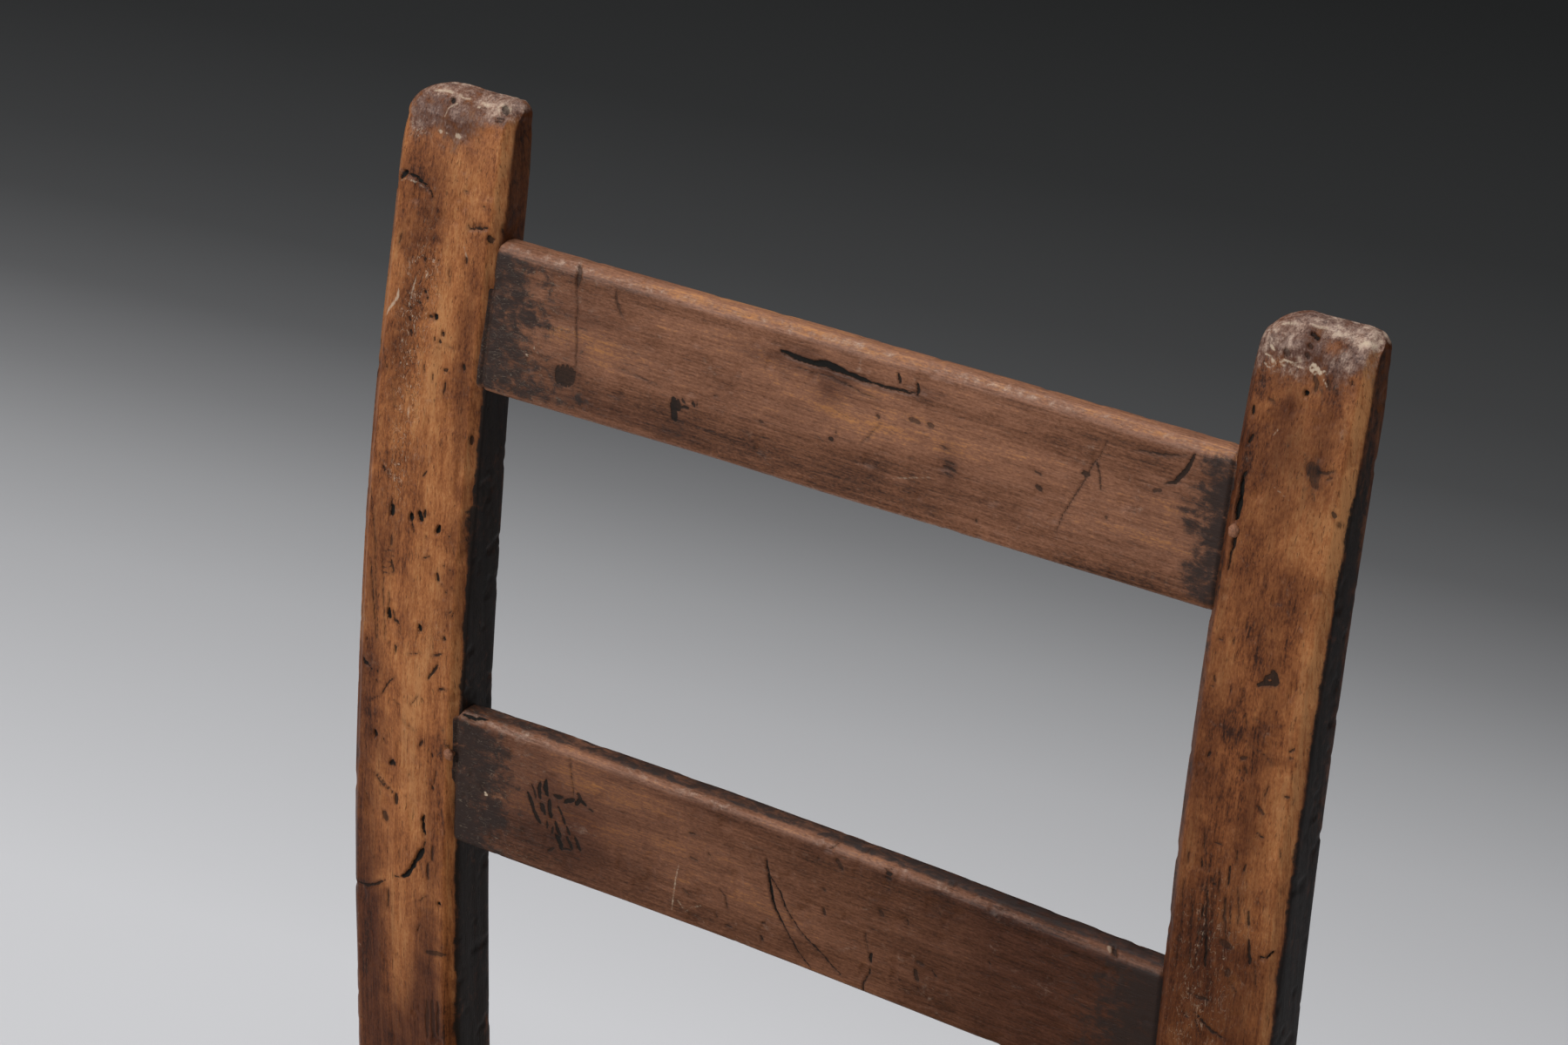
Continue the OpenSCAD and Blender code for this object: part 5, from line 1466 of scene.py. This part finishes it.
def slat_tones(which, x, h, inner, edge, low_edge, normals, points):
    """Where a slat is stained, dark, rubbed light and bloomed: soft spots along its
    front, dark ends at the posts and worn long edges, with a painted highlight along its
    rounded top front arris."""
    front = ease(-normals[..., 1], 0.1, 0.5)
    # The rounded top front arris of a slat, where a highlight is painted
    arris_highlight = np.exp(-((normals[..., 2] - 0.66) / 0.30) ** 2) * ease(-normals[..., 1], 0.15, 0.5)
    # The rounded bottom edge of a slat, whose light line is partly wear and partly painted
    # highlight
    rim = np.exp(-((normals[..., 2] + 0.72) / 0.2) ** 2) * ease(-normals[..., 1], 0.25, 0.6)
    wander = rough(points, (9.0, 9.0, 7.0), 171)
    slant = x + 0.1 * h + 8 * wander
    spots = spots_on(which + "_slat", x, h)
    if which == "upper":
        stain = 0.50 * (1 - ease(slant, -110, -92)) + 0.42 * (1 - ease(slant, -130, -108))
        stain += 0.90 * ease(x + 3 * wander, 114, 132) + spots.stain
        stain *= (1 - 0.75 * edge) * (1 - 0.5 * low_edge)
        umber = (0.24 + spots.umber) * (1 - 0.6 * edge)
        # Painted highlight: honey, crust and patina on the top front arris; the honey along the
        # top edge is partly wear and partly painted highlight
        honey = edge * 0.50 + arris_highlight * 0.3 + rim * 0.6
        crust = arris_highlight * 0.25
        patina = arris_highlight * 0.45 + edge * 0.12 + rim * 0.5
    else:
        over = ease(normals[..., 2], 0.80, 0.97)
        stain = 0.60 * (1 - ease(slant, -118, -98)) + 0.50 * (1 - ease(slant, -130, -110))
        stain += ease(x + 6 * wander, inner - 46, inner) + spots.stain
        stain = np.maximum(stain * (1 - 0.8 * arris_highlight) * (1 - 0.5 * edge), 0.72 * over)
        umber = (0.50 + 0.50 * ease(x, 20, 100) + spots.umber) * (1 - 0.5 * arris_highlight)
        # Painted highlight: honey, crust and patina on the lower slat's top front arris
        honey = arris_highlight * 0.45 * (1 - ease(x, 40, 110))
        crust = arris_highlight * 0.3
        patina = arris_highlight * 0.35 * (1 - ease(x, 40, 120))
    return clipped(stain=stain, umber=umber, honey=honey + spots.honey * front, patina=patina,
                   worm=0 * x, fleck=0.2 * (1 - ease(x, 20 - inner, 44 - inner)), crust=crust)


def front_line_at(up, sizes):
    """How far back the posts' front face lies at a height."""
    rise = max(up - sizes.bend_start, 0)
    return sizes.bend_radius - math.sqrt(sizes.bend_radius ** 2 - rise * rise)


def make_nails():
    """Two nails: irregular domed heads turned about their shanks, square to the posts."""
    posts, slats = sizes_of("posts"), sizes_of("slats")
    radius = slats.nail_head / 2
    profile = np.array([(0.05, 0.0), (0.45, -0.05), (0.80, -0.22), (0.98, -0.5),
                        (0.95, -0.72), (0.6, -0.8), (0.5, -0.9), (0.5, -4.0), (0.1, -4.6)])
    turn = np.linspace(0, 2 * math.pi, 26, endpoint=False)
    low, high = box_mm("slat_nails")
    heads = []
    for x, z in ((low[0] + radius, slats.lower_middle + slats.lower_nail),
                 (high[0] - radius, slats.upper_middle + slats.upper_nail)):
        out = profile[:, :1] * radius * (1 + 0.10 * np.sin(2 * turn + x) + 0.06 * np.sin(5 * turn))
        lift = np.broadcast_to(profile[:, 1:] * radius + NAIL_LIFT, out.shape)
        lean = math.asin((z - posts.bend_start) / posts.bend_radius)
        y = POST_BOX[LEFT][0][1] + front_line_at(z, posts)
        local_up = out * np.sin(turn)
        heads.append(np.stack([
            x + out * np.cos(turn),
            y - lift * math.cos(lean) + local_up * math.sin(lean),
            z + lift * math.sin(lean) + local_up * math.cos(lean),
        ], -1))
    build("nail_heads", np.stack(heads), finishes()["iron"],
          replaces=("slat_nails",))


def make_stretcher(node, finish):
    """One stretcher: a chamfered section carried straight between its two ends, which
    run a little way into the legs, worn like the posts."""
    sizes = sizes_of("stretchers")
    low, high = box_mm(node)
    z = (low[2] + high[2]) / 2
    if high[0] - low[0] > high[1] - low[1]:
        y = (low[1] + high[1]) / 2
        ends = [(low[0] + HIDDEN_END, y, z), (high[0] - HIDDEN_END, y, z)]
        grain = (1, 0, 0)
    else:
        side = LEFT if low[0] < 0 else RIGHT
        inset = (LEG_BOX[RIGHT][1][0] - LEG_BOX[RIGHT][0][0]) / 2
        ends = [(side * (side_line(side, y)[0] - inset), y, z)
                for y in (low[1] + HIDDEN_END, high[1] - HIDDEN_END)]
        grain = (0, 1, 0)
    start, end = np.array(ends)
    span = np.linalg.norm(end - start)
    step = (end - start) / span
    along = np.linspace(0, span, 150)
    wide, tall = (np.full(150, size / 2) for size in (sizes.thickness, sizes.height))
    across, up = chamfered(-wide, wide, -tall, tall, sizes.chamfer, (8, 4, 14, 4) * 2)
    points = (start + along[:, None, None] * step + across[..., None] * np.cross([0, 0, 1], step)
              + up[..., None] * np.array([0, 0, 1.0]))
    points = round_the_ring(points, 2)
    normals = normals_of(points)
    seed = sum(map(ord, node)) % 97
    rubbed = ease(normals[..., 2], 0.2, 0.8) * np.exp(-((along / span - 0.5) / 0.28) ** 2)[:, None]
    worn_top = 1.2 if "front" in node else 0.5
    wear = worn_down(points, sizes_of("posts"), grain, seed)
    wear = wear + rubbed * worn_top * (0.7 + 0.3 * rough(points, 30.0, seed + 2, 2))
    points = points - normals * wear[..., None]
    blotches = lumps(points, 26.0, seed + 4)
    # Darker on the faces that look down, and in blotches
    stain = 0.35 * ease(-normals[..., 2], 0.2, 0.8) + 0.25 * blotches
    build(node.replace("stretcher_", "bar_"), points, finishes()[finish],
          plain_tones(points, stain, rubbed * 0.8 + 0.2 * blotches, 0.1),
          replaces=(node,))


def cord_field(node, rows, inward, places):
    """One woven field: each cord is a hairpin in an upright plane. It rises from the seam,
    runs out over the rail, round its edge on a half circle and back in underneath. rows
    and inward give each cord's place along the rail and its way in to the seam, and
    places turns (across, in, up) into x, y and z."""
    seat = sizes_of("seat")
    rail_r = seat.rail_height / 2
    round_r = rail_r + seat.gap + seat.cord / 2
    axis = seat.top - seat.cord - seat.gap - rail_r
    count = len(rows)
    far = np.maximum(inward - 1.2, rail_r + 2.0)[:, None]
    top_in = far + (rail_r - far) * np.linspace(0, 1, seat.rings)
    travel = np.abs(top_in - far)
    dive = seat.dive * np.exp(-(travel / 3.2) ** 2)
    open_run = np.clip((top_in - rail_r) / np.maximum(far - rail_r, 1), 0, 1)
    crown = seat.crown * np.sin(math.pi * open_run) * np.clip(far / 90, 0, 1)
    top_up = round_r + crown - dive
    turn = np.linspace(math.pi / 2, -math.pi / 2, 13)[1:-1]
    arc_in = np.broadcast_to(rail_r - round_r * np.cos(turn), (count, len(turn)))
    arc_up = np.broadcast_to(round_r * np.sin(turn), (count, len(turn)))
    under_up = -round_r - 0.5 * crown[:, ::-1] + dive[:, ::-1]
    d = np.hstack([top_in, arc_in, top_in[:, ::-1]])
    up = np.hstack([top_up, arc_up, under_up])
    jitter = np.stack([rows[:, None] + 0 * d, d, up], -1)
    shift = 0.22 * rough(jitter, (4.0, 40.0, 40.0), 201, 2)
    lift = 0.35 * rough(jitter, (5.0, 50.0, 50.0), 207, 2)
    centre = np.stack([rows[:, None] + shift, d, up + lift * np.sign(up)], -1)
    tangent = np.gradient(centre, axis=1)
    tangent /= np.linalg.norm(tangent, axis=-1, keepdims=True)
    sideways = np.broadcast_to(np.array([1.0, 0, 0]), tangent.shape)
    out = np.cross(sideways, tangent)
    out /= np.linalg.norm(out, axis=-1, keepdims=True)
    angle = np.linspace(0, 2 * math.pi, 10, endpoint=False)
    thick = seat.cord / 2 * (0.985 + 0.05 * rough(centre, (4.0, 9.0, 9.0), 211, 2))
    ring = (sideways[:, :, None] * np.cos(angle)[:, None]
            + out[:, :, None] * np.sin(angle)[:, None])
    local = centre[:, :, None] + ring * thick[:, :, None, None]
    local[..., 2] += axis
    pieces = np.linalg.norm(np.diff(centre, axis=1), axis=-1)
    along = np.concatenate([np.zeros((count, 1)), np.cumsum(pieces, 1)], 1)
    along = along + TWIST_SHIFT * rows[:, None]
    along = np.broadcast_to(along[:, :, None], local.shape[:3]) * 0.001
    build(node + "_cords", places(local), finishes()["cord"], uv=along,
          replaces=(node,))


def seat_plan():
    """The lines that the woven fields share: rails' outer edges and diagonal seams."""
    gap = bpy.context.scene.chair_seat.gap * 1000
    front = (LEG_BOX[RIGHT][0][0] - gap, LEG_BOX[RIGHT][1][1] + gap)
    rear = (POST_BOX[RIGHT][0][0] - gap, POST_BOX[RIGHT][0][1] - gap)
    share = min(1.0, (rear[1] - front[1]) / (front[0] + rear[0]))
    return SimpleNamespace(front=front, rear=rear, share=share,
                           front_rail=box_mm("seat_rail_front")[0][1],
                           rear_rail=box_mm("seat_rail_rear")[1][1],
                           apex_front=front[1] + front[0] * share,
                           apex_rear=rear[1] - rear[0] * share)


def even_rows(low, high, pitch):
    """Evenly spaced cords between two limits, about a pitch apart."""
    count = int((high - low) / pitch)
    return low + (np.arange(count) + 0.5) * (high - low) / count


def make_weave():
    """The four fields of the seat."""
    pitch = sizes_of("seat").pitch
    plan = seat_plan()
    for node, (half, seam_y), rail, way in (
            ("weave_front", plan.front, plan.front_rail, 1),
            ("weave_rear", plan.rear, plan.rear_rail, -1)):
        rows = even_rows(-half, half, pitch)
        inward = way * (seam_y - rail) + (half - np.abs(rows)) * plan.share

        def from_rail(local, rail=rail, way=way):
            return np.stack([local[..., 0], rail + way * local[..., 1], local[..., 2]], -1)

        cord_field(node, rows, inward, from_rail)
    for side in (LEFT, RIGHT):
        rows = even_rows(plan.front[1], plan.rear[1], pitch)
        seam = np.where(rows < plan.apex_front,
                        plan.front[0] - (rows - plan.front[1]) / plan.share,
                        np.where(rows > plan.apex_rear,
                                 (rows - plan.apex_rear) / plan.share, 0.0))
        outside, slope = side_line(side, rows)
        edge = outside - RAIL_INSET / math.cos(math.atan(slope))

        def from_side(local, edge=edge, side=side):
            out = edge[:, None, None] - local[..., 1]
            return np.stack([side * out, local[..., 0], local[..., 2]], -1)

        cord_field("weave_" + SIDE_NAMES[side], rows, edge - seam, from_side)


def make_stuffing():
    """The straw between the layers: a pad of rounded sections that narrow to the rear."""
    low, high = box_mm("seat_stuffing")
    y = np.linspace(low[1], high[1], 70)
    left, right = (side_line(side, y)[0] - STUFFING_INSET for side in (LEFT, RIGHT))
    xs, zs = chamfered(-left, right, low[2] + 0 * y, high[2] + 0 * y, 5.0, (40, 4, 8, 4) * 2)
    points = np.stack([xs, np.broadcast_to(y[:, None], xs.shape), zs], -1)
    points = round_the_ring(points, 2)
    normals = normals_of(points)
    points = points - normals * (0.6 + 0.6 * rough(points, 18.0, 301))[..., None]
    pad = build("straw_pad", points, finishes()["straw"],
                replaces=("seat_stuffing",))


def make_stage():
    """Floor, lights, world and the camera of the photograph's view."""
    scene = bpy.context.scene
    stage = scene.chair_stage
    reach = stage.floor_reach
    mesh = bpy.data.meshes.new("floor")
    corners = [(-reach, -reach, 0), (reach, -reach, 0), (reach, reach, 0), (-reach, reach, 0)]
    mesh.from_pydata(corners, [], [(0, 1, 2, 3)])
    floor = bpy.data.objects.new("floor", mesh)
    scene.collection.objects.link(floor)
    mesh.materials.append(studio_floor(plain_colours(), stage))
    add_softbox("key", (-1.7, -2.0, 2.5), 1.3, stage.key_power)
    add_softbox("fill", (2.4, -1.6, 1.3), 1.6, stage.fill_power)
    add_softbox("overhead", (-0.3, 1.0, 2.9), 1.4, stage.top_power)
    world = bpy.data.worlds.new("studio")
    world.use_nodes = True
    light_world(world.node_tree, stage.ambient, plain_colours().backdrop)
    scene.world = world
    scene.view_settings.view_transform = "Standard"
    add_camera(scene, stage)


def light_world(tree, ambient, backdrop):
    """Even light all round, with a dark backdrop for what the camera and gloss see."""
    path = tree.nodes.new("ShaderNodeLightPath")
    first = tree.nodes.new("ShaderNodeMath")
    second = tree.nodes.new("ShaderNodeMath")
    mix = tree.nodes.new("ShaderNodeMix")
    first.operation = second.operation = "MAXIMUM"
    mix.data_type = "RGBA"
    tree.links.new(path.outputs["Is Camera Ray"], first.inputs[0])
    tree.links.new(path.outputs["Is Glossy Ray"], first.inputs[1])
    tree.links.new(first.outputs[0], second.inputs[0])
    tree.links.new(path.outputs["Is Transmission Ray"], second.inputs[1])
    tree.links.new(second.outputs[0], mix.inputs[0])
    mix.inputs[6].default_value = (0.95 * ambient, 0.97 * ambient, ambient, 1.0)
    mix.inputs[7].default_value = (*backdrop, 1.0)
    tree.links.new(mix.outputs[2], tree.nodes["Background"].inputs["Color"])
    tree.nodes["Background"].inputs["Strength"].default_value = 1.0


def add_softbox(name, place, width, power):
    """A square area light that looks at the chair's back."""
    lamp = bpy.data.lights.new(name, "AREA")
    lamp.energy = power
    lamp.size = width
    box = bpy.data.objects.new(name, lamp)
    box.location = place
    aim = Vector((0.0, 0.1, 0.6)) - Vector(place)
    box.rotation_euler = aim.to_track_quat("-Z", "Y").to_euler()
    bpy.context.scene.collection.objects.link(box)


def add_camera(scene, stage):
    """The camera on a sphere round its aim point, turned about its line of sight."""
    a, e, r = stage.azimuth, stage.elevation, stage.roll
    ahead = Vector((-math.sin(a) * math.cos(e), math.cos(a) * math.cos(e), -math.sin(e)))
    level = Vector((math.cos(a), math.sin(a), 0))
    up = level.cross(ahead)
    right = level * math.cos(r) + up * math.sin(r)
    above = up * math.cos(r) - level * math.sin(r)
    lens = bpy.data.cameras.new("photo_view")
    lens.lens = stage.lens
    lens.sensor_width = 36.0
    lens.clip_end = 200.0
    camera = bpy.data.objects.new("photo_view", lens)
    turn = Matrix((right, above, -ahead)).transposed()
    place = Vector(stage.aim) - ahead * stage.distance
    camera.matrix_world = Matrix.Translation(place) @ turn.to_4x4()
    scene.collection.objects.link(camera)
    scene.camera = camera


class CHAIR_OT_posts(bpy.types.Operator):
    """Make the two bent back posts"""
    bl_idname = "chair.posts"
    bl_label = "Back posts"

    def execute(self, context):
        make_post(LEFT)
        make_post(RIGHT)
        return {"FINISHED"}


class CHAIR_OT_slats(bpy.types.Operator):
    """Make the upper and the lower slat"""
    bl_idname = "chair.slats"
    bl_label = "Slats"

    def execute(self, context):
        make_slat("upper")
        make_slat("lower")
        return {"FINISHED"}


class CHAIR_OT_nails(bpy.types.Operator):
    """Make the nails that hold the slats"""
    bl_idname = "chair.nails"
    bl_label = "Nails"

    def execute(self, context):
        make_nails()
        return {"FINISHED"}


class CHAIR_OT_legs(bpy.types.Operator):
    """Make the two front legs"""
    bl_idname = "chair.legs"
    bl_label = "Front legs"

    def execute(self, context):
        make_leg(LEFT)
        make_leg(RIGHT)
        return {"FINISHED"}


class CHAIR_OT_stretchers(bpy.types.Operator):
    """Make the seven stretchers"""
    bl_idname = "chair.stretchers"
    bl_label = "Stretchers"

    def execute(self, context):
        for node in sorted(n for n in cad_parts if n.startswith("stretcher_")):
            crosswise = "front" in node or "rear" in node
            make_stretcher(node, "cross" if crosswise else "side")
        return {"FINISHED"}


class CHAIR_OT_rails(bpy.types.Operator):
    """Give the seat rails under the weave their wood"""
    bl_idname = "chair.rails"
    bl_label = "Seat rails"

    def execute(self, context):
        for name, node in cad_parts.items():
            if name.startswith("seat_rail_"):
                node.data.materials.clear()
                node.data.materials.append(finishes()["rail"])
        return {"FINISHED"}


class CHAIR_OT_seat(bpy.types.Operator):
    """Make the woven seat and its stuffing"""
    bl_idname = "chair.seat"
    bl_label = "Woven seat"

    def execute(self, context):
        make_weave()
        make_stuffing()
        return {"FINISHED"}


class CHAIR_OT_stage(bpy.types.Operator):
    """Make the floor, the lights and the camera"""
    bl_idname = "chair.stage"
    bl_label = "Studio"

    def execute(self, context):
        make_stage()
        return {"FINISHED"}


class CHAIR_PT_panel(bpy.types.Panel):
    """Lists what makes the chair"""
    bl_idname = "CHAIR_PT_panel"
    bl_label = "Ladder-back chair"
    bl_space_type = "VIEW_3D"
    bl_region_type = "UI"
    bl_category = "Chair"

    def draw(self, context):
        for operator in OPERATORS:
            self.layout.operator(operator.bl_idname)
        for label in GROUPS:
            group = getattr(context.scene, label)
            box = self.layout.box()
            box.label(text=label.replace("_", " ").capitalize())
            for name in value_names(group):
                box.prop(group, name)


OPERATORS = (CHAIR_OT_stage, CHAIR_OT_posts, CHAIR_OT_slats, CHAIR_OT_nails, CHAIR_OT_legs,
             CHAIR_OT_stretchers, CHAIR_OT_rails, CHAIR_OT_seat)
GROUPS = {
    "chair_posts": ChairPostSizes,
    "chair_slats": ChairSlatSizes,
    "chair_seat": ChairSeatSizes,
    "chair_stretchers": ChairStretcherSizes,
    "chair_colours": ChairColours,
    "chair_stage": ChairStageSizes,
}


def register():
    for kind in (*GROUPS.values(), *OPERATORS, CHAIR_PT_panel):
        bpy.utils.register_class(kind)
    for label, kind in GROUPS.items():
        setattr(bpy.types.Scene, label, PointerProperty(type=kind))


def unregister():
    for label in GROUPS:
        delattr(bpy.types.Scene, label)
    for kind in reversed((*GROUPS.values(), *OPERATORS, CHAIR_PT_panel)):
        bpy.utils.unregister_class(kind)


def main():
    register()
    for operator in OPERATORS:
        group, name = operator.bl_idname.split(".")
        getattr(getattr(bpy.ops, group), name)()


if __name__ == "__main__":
    main()
